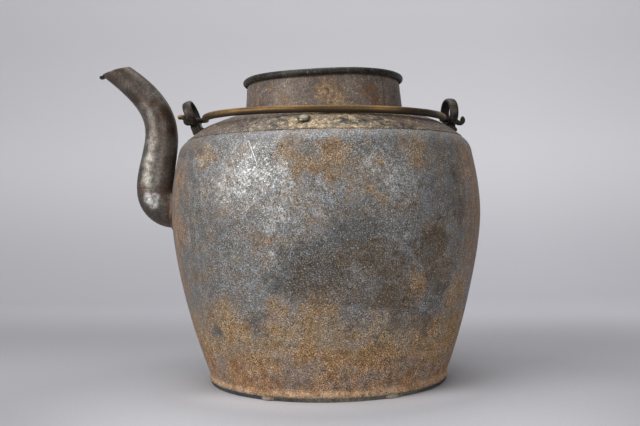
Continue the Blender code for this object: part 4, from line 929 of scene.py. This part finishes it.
def makeNeck():
    n = neckSizes
    outerRoll = n["wireRadius"] + potSizes["gap"] + n["sheet"]
    centre = Vector((n["topRadius"] + n["rimOffset"], n["rise"] + n["rimRise"]))
    footInside = potSizes["neckRadius"] - n["sheet"]
    topInside = n["topRadius"] - n["sheet"]
    line = [Vector((footInside, -n["tuck"]))]
    for step in range(13):
        share = step / 12
        line.append(Vector((footInside + (topInside - footInside) * share ** 0.8, n["rise"] * share)))
    roll = []
    for step in range(29):
        angle = math.radians(n["startDeg"] + (n["endDeg"] - n["startDeg"]) * step / 28)
        roll.append(centre + Vector((math.cos(angle), math.sin(angle))) * outerRoll)
    loop = sheetLoop(line + roll, n["sheet"])
    loop = [(point, 1.0 - side if side in (0.0, 1.0) else side) for point, side in loop]
    stand = Matrix.Translation((0.0, 0.0, potSizes["neckFoot"] * mm)) \
        @ Matrix.Rotation(-math.radians(n["leanDeg"]), 4, "Y")
    collar = turnPiece("neckCollar", loop, n["sides"],
                       {"Dent Depth": 0.7 * mm, "Dent Size": 16.0 * mm, "Dent Floor": 2.0 * mm,
                        "Dent Top": 40.0 * mm, "Dent Fade": 8.0 * mm, "Seed": 5.0})
    finishPiece(collar, [neckPewter], "pot", ["neck_collar"])
    collar.data.materials.append(rimPewter)
    for face in collar.data.polygons:
        if face.center.z > (centre.y - outerRoll * 0.8) * mm:
            face.material_index = 1
    sagRim(collar)
    placeMesh(collar, stand)

    section = []
    for step in range(16):
        angle = 2 * math.pi * step / 16
        section.append((centre + Vector((math.cos(angle), math.sin(angle))) * n["wireRadius"], 0.0))
    wire = turnPiece("rimWire", section, n["sides"])
    sagRim(wire)
    placeMesh(wire, stand)
    finishPiece(wire, [rimPewter], "pot", ["rim_wire"])


makeNeck()
print("neck made")


# Base plate and the four low solder feet

baseSizes = {"sheet": 1.4, "edgeRadius": 68.7, "edgeTop": 2.95, "round": 0.6, "padDistance": 67.9,
             "padSize": (4.4, 7.2, 3.0), "padAngleDeg": 28.0}


def makeBase():
    b = baseSizes
    inner = b["edgeRadius"] - b["sheet"]
    points = [(0.0, b["sheet"])] + [(inner * share, b["sheet"]) for share in (0.3, 0.6, 0.85)]
    points += [(inner - 0.5, b["sheet"]), (inner - 0.12, b["sheet"] + 0.15), (inner, b["sheet"] + 0.5),
               (inner, b["edgeTop"] - 0.2), (inner + 0.2, b["edgeTop"]), (b["edgeRadius"] - 0.25, b["edgeTop"]),
               (b["edgeRadius"], b["edgeTop"] - 0.25), (b["edgeRadius"], b["round"])]
    for degrees in (-22.5, -45.0, -67.5):
        turn = math.radians(degrees)
        points.append((b["edgeRadius"] - b["round"] + b["round"] * math.cos(turn),
                       b["round"] + b["round"] * math.sin(turn)))
    points += [(b["edgeRadius"] - b["round"], 0.0)]
    points += [(b["edgeRadius"] * share, 0.0) for share in (0.85, 0.6, 0.3)] + [(0.0, 0.0)]
    plate = turnPiece("basePlate", [(Vector(point), 0.0) for point in points], 192)
    finishPiece(plate, [baseMetal], "pot", ["base_plate"])


def makeFeetTree():
    # Wiped lumps of solder: one on each point, turned to face outward, each with its own noise.
    tree, given = newTree("solderFeet", [
        ("Lump Size", "Vector", (0.004, 0.006, 0.002)), ("Lumpiness", "Float", 0.0006), ("Seed", "Float", 7.0),
        ("Material", "Material", None)])
    lump = addNode(tree, "GeometryNodeMeshIcoSphere", {"Radius": 0.5, "Subdivisions": 5})
    place = addNode(tree, "GeometryNodeInputPosition")
    parts = addNode(tree, "ShaderNodeSeparateXYZ", {0: place})
    turn = addNode(tree, "ShaderNodeMath", {0: parts.outputs["Y"], 1: parts.outputs["X"]}, operation="ARCTAN2")
    spin = addNode(tree, "ShaderNodeCombineXYZ", {"Z": turn})
    placed = addNode(tree, "GeometryNodeInstanceOnPoints", {
        "Points": given.outputs["Geometry"], "Instance": lump.outputs["Mesh"], "Rotation": spin,
        "Scale": given.outputs["Lump Size"]})
    real = addNode(tree, "GeometryNodeRealizeInstances", {"Geometry": placed})
    cloud = addNode(tree, "ShaderNodeTexNoise", {"Vector": place, "W": given.outputs["Seed"],
                                                 "Scale": perMm(2.4), "Detail": 2.0}, noise_dimensions="4D")
    centred = addNode(tree, "ShaderNodeMath", {0: cloud.outputs[0], 1: 0.5}, operation="SUBTRACT")
    deep = addNode(tree, "ShaderNodeMath", {0: centred, 1: given.outputs["Lumpiness"]}, operation="MULTIPLY")
    shift = addNode(tree, "ShaderNodeVectorMath", {0: addNode(tree, "GeometryNodeInputNormal"), "Scale": deep},
                    operation="SCALE")
    rough = addNode(tree, "GeometryNodeSetPosition", {"Geometry": real, "Offset": shift})
    height = addNode(tree, "ShaderNodeMath", {0: parts.outputs["Z"], 1: 0.0}, operation="MAXIMUM")
    level = addNode(tree, "ShaderNodeCombineXYZ", {"X": parts.outputs["X"], "Y": parts.outputs["Y"], "Z": height})
    flat = addNode(tree, "GeometryNodeSetPosition", {"Geometry": rough, "Position": level})
    closeTree(tree, flat, given.outputs["Material"])
    return tree


def makeFeet():
    b = baseSizes
    tree = makeFeetTree()
    places = {"foot_front_left": (-90.0 - b["padAngleDeg"], 7.0), "foot_front_right": (-90.0 + b["padAngleDeg"], 9.0),
              "foot_rear_right": (90.0 - b["padAngleDeg"], 12.0), "foot_rear_left": (90.0 + b["padAngleDeg"], 15.0)}
    for node, (degrees, seed) in places.items():
        angle = math.radians(degrees)
        point = Vector((math.cos(angle), math.sin(angle), 0.0)) * b["padDistance"] + Vector((0.0, 0.0, 1.05))
        mesh = bpy.data.meshes.new("footPoint")
        mesh.from_pydata([tuple(point * mm)], [], [])
        name = "solderFoot" + "".join(word.capitalize() for word in node.split("_")[1:])
        foot = growFromTree(name, mesh, tree, {"Lump Size": tuple(size * 1.12 * mm for size in b["padSize"]),
                                               "Lumpiness": 1.0 * mm, "Seed": seed})
        faceOutward(foot.data)
        finishPiece(foot, [dullSolder], "pot", [node], 60.0)


makeBase()
makeFeet()
print("base and feet made")


# Spout: a bent elbow, a tapering tube soldered above it, and solder at its root and under its lip

spoutSizes = {"sheet": 1.2, "rootHeight": 100.1, "rootRadius": 10.9, "bendRadius": 11.4, "waistRadius": 9.5,
              "waistShift": 4.1, "waistRise": 43.9, "tipRadius": 6.9, "lipOverhang": 30.15, "lipRise": 35.4,
              "tipRiseDeg": 37.0, "mouthRiseDeg": 16.5, "stub": 1.0, "seamGap": 0.14, "edgeRound": 0.2,
              "sides": 64}


def spoutLines():
    s = spoutSizes
    wall = wallLine()
    uprightX = -(radiusAt(wall, s["rootHeight"] + s["bendRadius"]) + potSizes["gap"] + s["rootRadius"])
    bendX = uprightX + s["bendRadius"]
    seamHeight = s["rootHeight"] + s["bendRadius"] + s["stub"]
    elbow = [Vector((bendX + s["bendRadius"], 0.0, s["rootHeight"]))]
    for step in range(19):
        angle = -math.pi / 2 - math.pi / 2 * step / 18
        elbow.append(Vector((bendX + s["bendRadius"] * math.cos(angle), 0.0,
                             s["rootHeight"] + s["bendRadius"] * (1.0 + math.sin(angle)))))
    elbow.append(Vector((uprightX, 0.0, seamHeight)))

    tipAngle = math.radians(s["tipRiseDeg"])
    tipRun = Vector((-math.cos(tipAngle), 0.0, math.sin(tipAngle)))
    tipDown = Vector((-math.sin(tipAngle), 0.0, -math.cos(tipAngle)))
    waist = Vector((uprightX + s["waistShift"], 0.0, s["rootHeight"] + s["waistRise"]))
    lip = Vector((uprightX - s["lipOverhang"], 0.0, waist.z + s["lipRise"]))
    tip = lip - tipDown * s["tipRadius"]
    rise = Vector((0.0, 0.0, 1.0))
    start = Vector((uprightX, 0.0, seamHeight + s["seamGap"]))
    first = start + rise * s["stub"]
    lowerRise, upperRise = waist.z - first.z, tip.z - waist.z
    lower = bezierPoints(first, first + rise * lowerRise * 0.30, waist - rise * lowerRise * 0.31, waist, 26)
    upper = bezierPoints(waist, waist + rise * upperRise * 0.43, tip - tipRun * upperRise * 0.50, tip, 34)
    tube = [start] + lower + upper[1:] + [tip + tipRun * 4.0]
    radii = [s["rootRadius"]]
    radii += [s["rootRadius"] + (s["waistRadius"] - s["rootRadius"]) * step / 26 for step in range(27)]
    radii += [s["waistRadius"] + (s["tipRadius"] - s["waistRadius"]) * step / 34 for step in range(1, 35)]
    radii += [s["tipRadius"]]
    return elbow, tube, radii, tip, tipRun, tipDown, lip, uprightX


def roundEdges(item, width, angleDeg=50.0):
    edge = item.modifiers.new("round", "BEVEL")
    edge.width = width * mm
    edge.segments = 3
    edge.limit_method = "ANGLE"
    edge.angle_limit = math.radians(angleDeg)
    edge.harden_normals = False
    applyModifiers(item)


def thicken(item, sheet):
    shell = item.modifiers.new("sheet", "SOLIDIFY")
    shell.thickness = sheet * mm
    shell.offset = -1.0
    shell.use_even_offset = True
    applyModifiers(item)


def orientTube(item):
    # An open tube's faces point away from its own path.
    shape = bmesh.new()
    shape.from_mesh(item.data)
    bmesh.ops.remove_doubles(shape, verts=shape.verts, dist=weldDistance)
    bmesh.ops.recalc_face_normals(shape, faces=shape.faces)
    shape.to_mesh(item.data)
    shape.free()


def markInside(item, path, radii, sheet):
    # Stores how far inside the tube each point lies: 0 on its outer face, 1 on its inner face.
    attribute = item.data.attributes.new("inside", "FLOAT", "POINT")
    for vertex, value in zip(item.data.vertices, attribute.data):
        place = vertex.co / mm
        index = min(range(len(path)), key=lambda i: (path[i] - place).length_squared)
        neighbour = path[min(index + 1, len(path) - 1)] - path[max(index - 1, 0)]
        spoke = place - path[index]
        spoke -= neighbour.normalized() * spoke.dot(neighbour.normalized())
        value.value = min(max((radii[index] - spoke.length) / sheet, 0.0), 1.0)


def makeSpout():
    s = spoutSizes
    elbowLine, tubeLine, tubeRadii, tip, tipRun, tipDown, lip, uprightX = spoutLines()
    wallSolid = [Vector((0.0, wallLine()[0].y + 1.0))] + offsetOutline(wallLine(), potSizes["gap"])
    wallSolid += [Vector((0.0, wallSolid[-1].y - 1.0))]
    wallCutter = turnPiece("wallCutter", [(point, 0.0) for point in wallSolid], potSizes["sides"])

    elbowRadii = [s["rootRadius"]] * len(elbowLine)
    elbow = sweepPiece("spoutElbow", elbowLine, elbowRadii, s["sides"], capped=False)
    orientTube(elbow)
    thicken(elbow, s["sheet"])
    cutWith(elbow, wallCutter)
    roundEdges(elbow, s["edgeRound"])
    markInside(elbow, elbowLine, elbowRadii, s["sheet"])
    finishPiece(elbow, [spoutPewter], "pot", ["spout_elbow"])

    tube = sweepPiece("spoutTube", tubeLine, tubeRadii, s["sides"], capped=False,
                      dents={"Dent Depth": 0.5 * mm, "Dent Size": 18.0 * mm, "Seed": 4.0})
    orientTube(tube)
    thicken(tube, s["sheet"])
    cutWith(tube, wallCutter)
    mouthAngle = math.radians(s["mouthRiseDeg"])
    run = Vector((math.cos(mouthAngle), 0.0, math.sin(mouthAngle)))
    up = Vector((-math.sin(mouthAngle), 0.0, math.cos(mouthAngle)))
    block = 4 * s["rootRadius"]
    mouth = addObject("mouthCutter", bpy.data.meshes.new("mouthCutter"))
    shape = bmesh.new()
    bmesh.ops.create_cube(shape, size=block * mm)
    bmesh.ops.transform(shape, verts=shape.verts,
                        matrix=Matrix.Translation((lip + run * block / 4 + up * block / 2) * mm)
                        @ Matrix.Rotation(-mouthAngle, 4, "Y"))
    shape.to_mesh(mouth.data)
    shape.free()
    cutWith(tube, mouth)
    removeObject(mouth)
    roundEdges(tube, s["edgeRound"])
    markInside(tube, tubeLine, tubeRadii, s["sheet"])
    finishPiece(tube, [spoutPewter], "pot", ["spout_tube"])
    removeObject(wallCutter)

    ring, radii = [], []
    wall = wallLine()
    for step in range(96):
        angle = 2 * math.pi * step / 96
        reach = s["rootRadius"] + 0.5
        y, z = reach * math.cos(angle), s["rootHeight"] + reach * math.sin(angle)
        x = -math.sqrt(radiusAt(wall, z) ** 2 - y * y)
        ring.append(Vector((x + 0.15, y, z)))
        radii.append(1.25 + 0.35 * math.sin(3 * angle + 0.7) * math.sin(5 * angle) - 0.45 * max(math.sin(angle), 0.0))
    solder = sweepPiece("spoutRootSolder", ring, radii, 20, closed=True, capped=False,
                        dents={"Dent Depth": 0.9 * mm, "Dent Size": 3.0 * mm, "Seed": 6.0})
    finishPiece(solder, [rootSolder], "pot", ["spout_root_solder"], 60.0)

    beadRadius, spread = 1.05, math.radians(24.0)
    distance = s["tipRadius"] + potSizes["gap"] + beadRadius
    points, radii = [], []
    for step in range(25):
        share = 2.0 * step / 24 - 1.0
        spoke = tipDown * math.cos(spread * share) + Vector((0.0, 1.0, 0.0)) * math.sin(spread * share)
        points.append(tip + spoke * (distance - 0.35) - tipRun * beadRadius * share * share)
        radii.append(beadRadius * math.sqrt(max(1.0 - share * share, 0.02)))
    bead = sweepPiece("spoutDripBead", points, radii, 20,
                      dents={"Dent Depth": 0.5 * mm, "Dent Size": 2.0 * mm, "Seed": 8.0})
    finishPiece(bead, [rimPewter], "pot", ["spout_drip_bead"], 60.0)


makeSpout()
print("spout made")


# Ears: an eye, a short shank and a foot plate in one casting

earSizes = {"hole": 6.0, "band": 2.1, "width": 4.5, "lookBand": 2.4, "lookWidth": 5.5, "plate": (9.0, 6.0, 1.0),
            "lookPlate": (7.0, 6.0, 1.0), "plateTuck": 0.9,
            "plateRadius": 73.7, "wireEnd": 1.5, "voxel": 0.28, "shankDepth": 6.5, "shankSink": 2.0,
            "left": {"side": -1, "leanDeg": 15.6, "yawDeg": 0.0, "shift": 0.96, "shankRise": 2.9,
                     "lookLeanDeg": 5.0, "lookYawDeg": 7.0, "lookShank": (5.6, 0.3), "lump": (-71.6, -2.0, 1.5)},
            "right": {"side": 1, "leanDeg": 0.0, "yawDeg": 8.5, "shift": -0.32, "shankRise": 0.36,
                      "lookLeanDeg": 0.0, "lookYawDeg": 5.0, "lookShank": (5.0, 0.0), "lump": (76.6, -1.5, 1.6)}}


def earPlace(ear):
    e = earSizes
    side = ear["side"]
    line = shoulderLine(8)
    ahead = heightAt(line, e["plateRadius"] + e["plate"][0] / 2)
    behind = heightAt(line, e["plateRadius"] - e["plate"][0] / 2)
    slope = math.atan2(behind - ahead, e["plate"][0])
    normal = Vector((side * math.sin(slope), 0.0, math.cos(slope)))
    top = Vector((side * e["plateRadius"], 0.0, heightAt(line, e["plateRadius"]))) \
        + normal * (potSizes["gap"] + e["plate"][2])
    lean = math.radians(ear["leanDeg"]) * side
    turn = Matrix.Rotation(lean, 3, "Y") @ Matrix.Rotation(math.radians(ear["yawDeg"]) * side, 3, "Z")
    up = turn @ Vector((0.0, 0.0, 1.0))
    foot = top + Vector((side * ear["shift"], 0.0, ear["shankRise"] - ear["shift"] * math.tan(slope)))
    centre = foot + up * (e["hole"] + e["band"])
    pin = centre - up * (e["hole"] - e["wireEnd"] - potSizes["gap"] - e["width"] / 2 * abs(math.tan(lean)))
    return {"slope": slope, "normal": normal, "top": top, "turn": turn, "up": up, "foot": foot, "centre": centre,
            "pin": pin}


def addBlock(shape, size, matrix):
    # A rounded block, in millimetres, added to an open bmesh.
    made = bmesh.ops.create_cube(shape, size=1.0)["verts"]
    bmesh.ops.scale(shape, vec=Vector(size) * mm, verts=made)
    edges = list({edge for vert in made for edge in vert.link_edges})
    made = bmesh.ops.bevel(shape, geom=edges, offset=0.35 * mm, segments=3, affect="EDGES", profile=0.5)["verts"]
    bmesh.ops.transform(shape, verts=made, matrix=matrix)


def makeEar(name, ear, node):
    e = earSizes
    at = earPlace(ear)
    half = e["lookWidth"] / 2
    section = []
    for step in range(24):
        angle = 2 * math.pi * step / 24
        across, along = math.cos(angle), math.sin(angle)
        section.append((Vector((e["hole"] + e["lookBand"] / 2 * (1.0 + math.copysign(abs(across) ** 0.85, across)),
                                half * math.copysign(abs(along) ** 0.85, along))), 0.0))
    casting = turnPiece(name, section, 72)
    # The eye is bent a little further over than the plain solid, about the spot where the wire rests.
    bend = Matrix.Rotation(math.radians(ear["lookLeanDeg"]) * ear["side"], 4, "Y") \
        @ Matrix.Rotation(math.radians(ear["lookYawDeg"]) * ear["side"], 4, "Z")
    bend = Matrix.Translation(at["pin"] * mm) @ bend @ Matrix.Translation(-at["pin"] * mm)
    eyeStand = bend @ Matrix.Translation(at["centre"] * mm) @ at["turn"].to_4x4() @ Matrix.Rotation(math.pi / 2, 4, "Y")
    placeMesh(casting, eyeStand)
    shape = bmesh.new()
    shape.from_mesh(casting.data)
    outward = Vector((ear["side"] * math.cos(at["slope"]), 0.0, -math.sin(at["slope"])))
    plateCentre = at["top"] - at["normal"] * e["plate"][2] / 2 - outward * e["plateTuck"]
    plateStand = Matrix.Translation(plateCentre * mm) @ Matrix.Rotation(at["slope"] * ear["side"], 4, "Y")
    addBlock(shape, e["lookPlate"], plateStand)
    eyeUp = (bend.to_3x3() @ at["up"]).normalized()
    eyeCentre = (bend @ (at["centre"] * mm)) / mm
    shankTop = eyeCentre - eyeUp * (e["hole"] + e["band"] * 0.6)
    fall = (shankTop.z - plateCentre.z) + e["shankSink"]
    shankWidth, shankShift = ear["lookShank"]
    shankMiddle = shankTop - eyeUp * (fall / 2 - 0.4) + Vector((ear["side"] * shankShift, 0.0, 0.0))
    addBlock(shape, (shankWidth, e["shankDepth"], fall), Matrix.Translation(shankMiddle * mm)
             @ bend.to_3x3().to_4x4() @ at["turn"].to_4x4())
    lumpX, lumpY, lumpRadius = ear["lump"]
    lumpHeight = heightAt(shoulderLine(8), math.hypot(lumpX, lumpY)) + potSizes["gap"] + lumpRadius * 0.55
    bmesh.ops.create_icosphere(shape, subdivisions=3, radius=lumpRadius * mm,
                               matrix=Matrix.Translation(Vector((lumpX, lumpY, lumpHeight)) * mm))
    shape.to_mesh(casting.data)
    shape.free()
    melt = casting.modifiers.new("melt", "REMESH")
    melt.mode = "VOXEL"
    melt.voxel_size = e["voxel"] * mm
    ease = casting.modifiers.new("ease", "SMOOTH")
    ease.factor = 0.5
    ease.iterations = 6
    applyModifiers(casting)
    # Painted shade: the eye's own inner face is marked, so that it is painted black.
    toEye = eyeStand.inverted()
    inside = casting.data.attributes.new("inside", "FLOAT", "POINT")
    for vertex, value in zip(casting.data.vertices, inside.data):
        local = (toEye @ vertex.co) / mm
        reach = math.hypot(local.x, local.y)
        value.value = 1.0 if abs(local.z) < half and reach < e["hole"] + 0.8 else 0.0
    finishPiece(casting, [earMetal], "pot", [node], 70.0)
    return at["pin"]


leftPin = makeEar("leftEar", earSizes["left"], "left_ear")
rightPin = makeEar("rightEar", earSizes["right"], "right_ear")
print("ears made")


# Bail: one bent brass wire, lying forward on the shoulder

bailSizes = {"radius": 2.0, "endRadius": 1.5, "reach": 67.0, "arm": 69.0, "bend": 3.0, "fullness": 2.1,
             "taper": 14.0, "sides": 24,
             # Each end beyond its eye: how far out and how high it runs, from the hinge line.
             "tails": {-1: [(0.0, 0.0), (2.0, -0.9), (3.7, -1.5), (4.9, -0.9), (5.2, 0.5), (6.0, 1.6), (7.6, 2.0),
                            (9.7, 2.0)],
                       1: [(0.0, 0.0), (2.6, -0.1), (4.8, -1.6), (6.6, -1.8), (7.7, -0.7), (7.5, 0.5),
                           (6.6, 1.0)]},
             "endRound": (0.5, 0.8, 0.94)}


def makeBail():
    b = bailSizes
    middle = (leftPin + rightPin) / 2
    run = rightPin - leftPin
    tilt = math.atan2(-run.z, run.x)
    halfSpan = run.length / 2
    restSlope = math.radians(potSizes["seamSlopeDeg"] + potSizes["topSlopeDeg"]) / 2
    restHeight = heightAt(shoulderLine(8), b["reach"]) + (b["radius"] + potSizes["gap"]) / math.cos(restSlope)
    sag = math.asin((middle.z - restHeight) / b["reach"])

    arms = {-1: b["arm"] + middle.x, 1: b["arm"] - middle.x}
    half = (arms[-1] + arms[1]) / 2
    shift = (arms[1] - arms[-1]) / 2
    arch = []
    for step in range(121):
        angle = math.pi * step / 120
        power = 2.0 / b["fullness"]
        across = math.copysign(abs(math.cos(angle)) ** power, -math.cos(angle))
        depth = (b["reach"] - b["bend"]) * math.sin(angle) ** power
        arch.append(Vector((shift + half * across, -b["bend"] - depth, 0.0)))
    ends = {}
    for side in (-1, 1):
        centre = Vector((side * (arms[side] + b["bend"]), -b["bend"], 0.0))
        bend = [centre + Vector((-side * math.cos(a), math.sin(a), 0.0)) * b["bend"]
                for a in (math.pi / 2 * step / 8 for step in range(1, 9))]
        corners = [Vector((side * (halfSpan + reach), 0.0, lift)) for reach, lift in b["tails"][side]]
        tail = [bend[-1]] + corners
        ends[side] = bend
        for i in range(len(tail) - 1):
            before, after = tail[max(i - 1, 0)], tail[min(i + 2, len(tail) - 1)]
            first = tail[i] + (tail[i + 1] - before) / 6
            second = tail[i + 1] - (after - tail[i]) / 6
            ends[side] = ends[side] + bezierPoints(tail[i], first, second, tail[i + 1], 5)[1:]
    line = list(reversed(ends[-1])) + arch + ends[1]
    radii = []
    for point in line:
        share = min(max((-point.y - b["bend"]) / b["taper"], 0.0), 1.0)
        radii.append(b["endRadius"] + (b["radius"] - b["endRadius"]) * share)
    for i, share in enumerate(b["endRound"]):
        radii[i] *= share
        radii[-1 - i] *= share
    place = Matrix.Translation(middle) @ Matrix.Rotation(tilt, 4, "Y") @ Matrix.Rotation(sag, 4, "X")
    bail = sweepPiece("bailHandle", [place @ point for point in line], radii, b["sides"],
                      dents={"Dent Depth": 0.16 * mm, "Dent Size": 9.0 * mm, "Seed": 10.0})
    # Painted shade: the wire's underside and its ends by the ears are marked so that they are painted dark.
    paintedShade = bail.data.attributes.new("inside", "FLOAT", "POINT")
    for vertex, value in zip(bail.data.vertices, paintedShade.data):
        nearEar = 1.0 - min(max((-vertex.co.y / mm - 6.0) / 6.0, 0.0), 1.0)
        if abs(vertex.co.x) > 82.5 * mm and vertex.co.x < 0.0:
            nearEar = 0.0
        value.value = min(max(0.64 - 0.5 * vertex.normal.z + 0.5 * nearEar, 0.0), 1.0)
    finishPiece(bail, [bailBrass], "bail", ["bail_handle"], 50.0)


makeBail()
print("bail made")


# Rivet through the front of the shoulder

rivetSizes = {"head": 3.6, "headHeight": 1.65, "shank": 1.5, "tail": 2.3, "tailHeight": 0.9, "distance": 73.1,
              "angleDeg": 8.4}


def makeRivet():
    r = rivetSizes
    line = shoulderLine(8)
    angle = -math.pi / 2 - math.radians(r["angleDeg"])
    slope = math.atan2(heightAt(line, r["distance"] - r["head"]) - heightAt(line, r["distance"] + r["head"]),
                       2 * r["head"])
    place = Vector((r["distance"] * math.cos(angle), r["distance"] * math.sin(angle), heightAt(line, r["distance"])))
    gap, below = potSizes["gap"], -(potSizes["sheet"] + 2 * potSizes["gap"])
    points = [(0.0, gap + r["headHeight"])]
    for degrees in (78.0, 66.0, 54.0, 42.0, 30.0, 18.0, 8.0):
        turn = math.radians(degrees)
        points.append((r["head"] * math.cos(turn), gap + r["headHeight"] * math.sin(turn)))
    points += [(r["head"], gap + 0.12), (r["head"] - 0.12, gap), (r["shank"], gap), (r["shank"], below),
               (r["tail"], below), (r["tail"], below - r["tailHeight"] / 2), (r["shank"], below - r["tailHeight"]),
               (0.0, below - r["tailHeight"])]
    rivet = turnPiece("shoulderRivet", [(Vector(point), 0.0) for point in points], 48,
                      {"Dent Depth": 0.5 * mm, "Dent Size": 3.0 * mm, "Dent Floor": 0.2 * mm, "Dent Top": 9.0 * mm,
                       "Dent Fade": 0.8 * mm, "Seed": 12.0})
    placeMesh(rivet, Matrix.Translation(place * mm) @ Matrix.Rotation(angle, 4, "Z")
              @ Matrix.Rotation(slope, 4, "Y"))
    finishPiece(rivet, [rivetMetal], "pot", ["shoulder_rivet"])


makeRivet()
print("rivet made")


# Studio: a pale paper sweep under and behind the pot, and soft lamps

sweepSizes = {"front": -1.6, "bend": 0.42, "bendRadius": 0.35, "top": 2.2, "half": 2.4}
sweepTones = {"near": "#c2c2c7", "far": "#bbbbc0", "wall": "#dad9dd"}
lamps = [
    {"name": "windowLamp", "place": (-1.06, -0.8, 0.62), "size": 0.85, "power": 12.5},
    {"name": "topLamp", "place": (-0.1, 0.05, 1.3), "size": 1.1, "power": 11.0},
    {"name": "fillLamp", "place": (0.55, -1.45, 0.45), "size": 1.0, "power": 6.0}]


def makeSweep():
    s = sweepSizes
    profile = [(s["front"], 0.0)] + [(s["front"] + (s["bend"] - s["front"]) * share, 0.0) for share in (0.5, 0.9)]
    for step in range(33):
        angle = math.pi / 2 * step / 32
        profile.append((s["bend"] + s["bendRadius"] * math.sin(angle), s["bendRadius"] * (1.0 - math.cos(angle))))
    profile.append((profile[-1][0], s["top"]))
    verts = [(side * s["half"], y, z) for y, z in profile for side in (-1, 1)]
    faces = [(2 * i, 2 * i + 1, 2 * i + 3, 2 * i + 2) for i in range(len(profile) - 1)]
    mesh = bpy.data.meshes.new("paperSweep")
    mesh.from_pydata(verts, [], faces)
    mesh.shade_smooth()
    sweep = addObject("paperSweep", mesh)

    # Matt background paper: even in itself, faintly fibrous, with no gloss, under painted light and shade.
    material, tree, shader, place = newMaterial("backgroundPaper")
    parts = addNode(tree, "ShaderNodeSeparateXYZ", {0: place})
    placeX, placeY, placeZ = parts.outputs["X"], parts.outputs["Y"], parts.outputs["Z"]
    colour = mixColour(tree, stepBetween(tree, placeY, 0.1, 0.45), sweepTones["near"], sweepTones["far"])
    colour = mixColour(tree, stepBetween(tree, placeZ, 0.0, 0.2), colour, sweepTones["wall"])
    # Painted light and shade: a pool of light that fades away from the pot's front, fades more to the left, and is
    # darkest where the floor ends.
    away = addNode(tree, "ShaderNodeVectorMath", {0: place, 1: (0.01, -0.12, 0.0)}, operation="DISTANCE")
    paintedLightAndFibre = stepBetween(tree, away.outputs["Value"], 0.06, 0.21, 1.03, 0.655)
    aslant = combine(tree, combine(tree, placeX, 0.2), placeY, "ADD")
    paintedLightAndFibre = combine(tree, paintedLightAndFibre, stepBetween(tree, aslant, 0.12, 0.33, 1.0, 1.44))
    lean = addNode(tree, "ShaderNodeMapRange", {"Value": placeX, "From Min": -0.46, "From Max": 0.27,
                                                "To Min": -0.21, "To Max": 0.035}).outputs[0]
    lean = combine(tree, lean, stepBetween(tree, placeY, 0.0, 0.16, -0.1, 1.0))
    paintedLightAndFibre = combine(tree, paintedLightAndFibre, combine(tree, lean, 1.0, "ADD"))
    paintedLightAndFibre = combine(tree, paintedLightAndFibre, stepBetween(tree, placeZ, 0.08, 0.28, 1.0, 0.945))
    # Light comes back from the pot's pale lip onto the floor just in front of it.
    radial = addNode(tree, "ShaderNodeVectorMath", {0: place}, operation="LENGTH")
    close = combine(tree, stepBetween(tree, radial.outputs["Value"], 0.102, 0.070, 0.0, 0.42),
                    stepBetween(tree, placeY, -0.030, -0.062))
    paintedLightAndFibre = combine(tree, paintedLightAndFibre, combine(tree, close, 1.0, "ADD"))
    # Painted shade toward the front corners of the floor.
    corner = combine(tree, stepBetween(tree, placeY, -0.03, -0.11),
                     stepBetween(tree, addNode(tree, "ShaderNodeMath", {0: placeX}, operation="ABSOLUTE"), 0.07, 0.16))
    paintedLightAndFibre = combine(tree, paintedLightAndFibre, combine(tree, combine(tree, corner, -0.08), 1.0, "ADD"))
    fibre = noiseField(tree, place, 1.1, 2.0, 0.7, 2.0)
    spread = combine(tree, combine(tree, fibre, 0.5, "SUBTRACT"),
                     stepBetween(tree, placeY, 0.05, 0.3, 0.22, 0.05))
    paintedLightAndFibre = combine(tree, paintedLightAndFibre, combine(tree, spread, 1.0, "ADD"))
    paintedLightAndFibreColour = addNode(tree, "ShaderNodeCombineColor", {0: paintedLightAndFibre, 1: paintedLightAndFibre, 2: paintedLightAndFibre}).outputs[0]
    tree.links.new(mixColour(tree, 1.0, colour, paintedLightAndFibreColour, "MULTIPLY"), shader.inputs["Base Color"])
    shader.inputs["Roughness"].default_value = 0.9
    bump = addNode(tree, "ShaderNodeBump", {"Strength": 0.2, "Distance": 0.05 * mm, "Height": fibre})
    tree.links.new(bump.outputs[0], shader.inputs["Normal"])
    mesh.materials.append(material)


def makeLights():
    for lamp in lamps:
        data = bpy.data.lights.new(lamp["name"], "AREA")
        data.shape = "SQUARE"
        data.size = lamp["size"]
        data.energy = lamp["power"]
        item = addObject(lamp["name"], data)
        place = Vector(lamp["place"])
        aim = (Vector((0.0, 0.0, 0.09)) - place).to_track_quat("-Z", "Y")
        item.matrix_world = Matrix.Translation(place) @ aim.to_matrix().to_4x4()
    world = bpy.data.worlds.new("studioAir")
    world.use_nodes = True
    world.node_tree.nodes["Background"].inputs["Color"].default_value = linearColour("#dcdcdf")
    world.node_tree.nodes["Background"].inputs["Strength"].default_value = 0.28
    bpy.context.scene.world = world
    bpy.context.scene.view_settings.view_transform = "Standard"


makeSweep()
makeLights()
print("studio made")
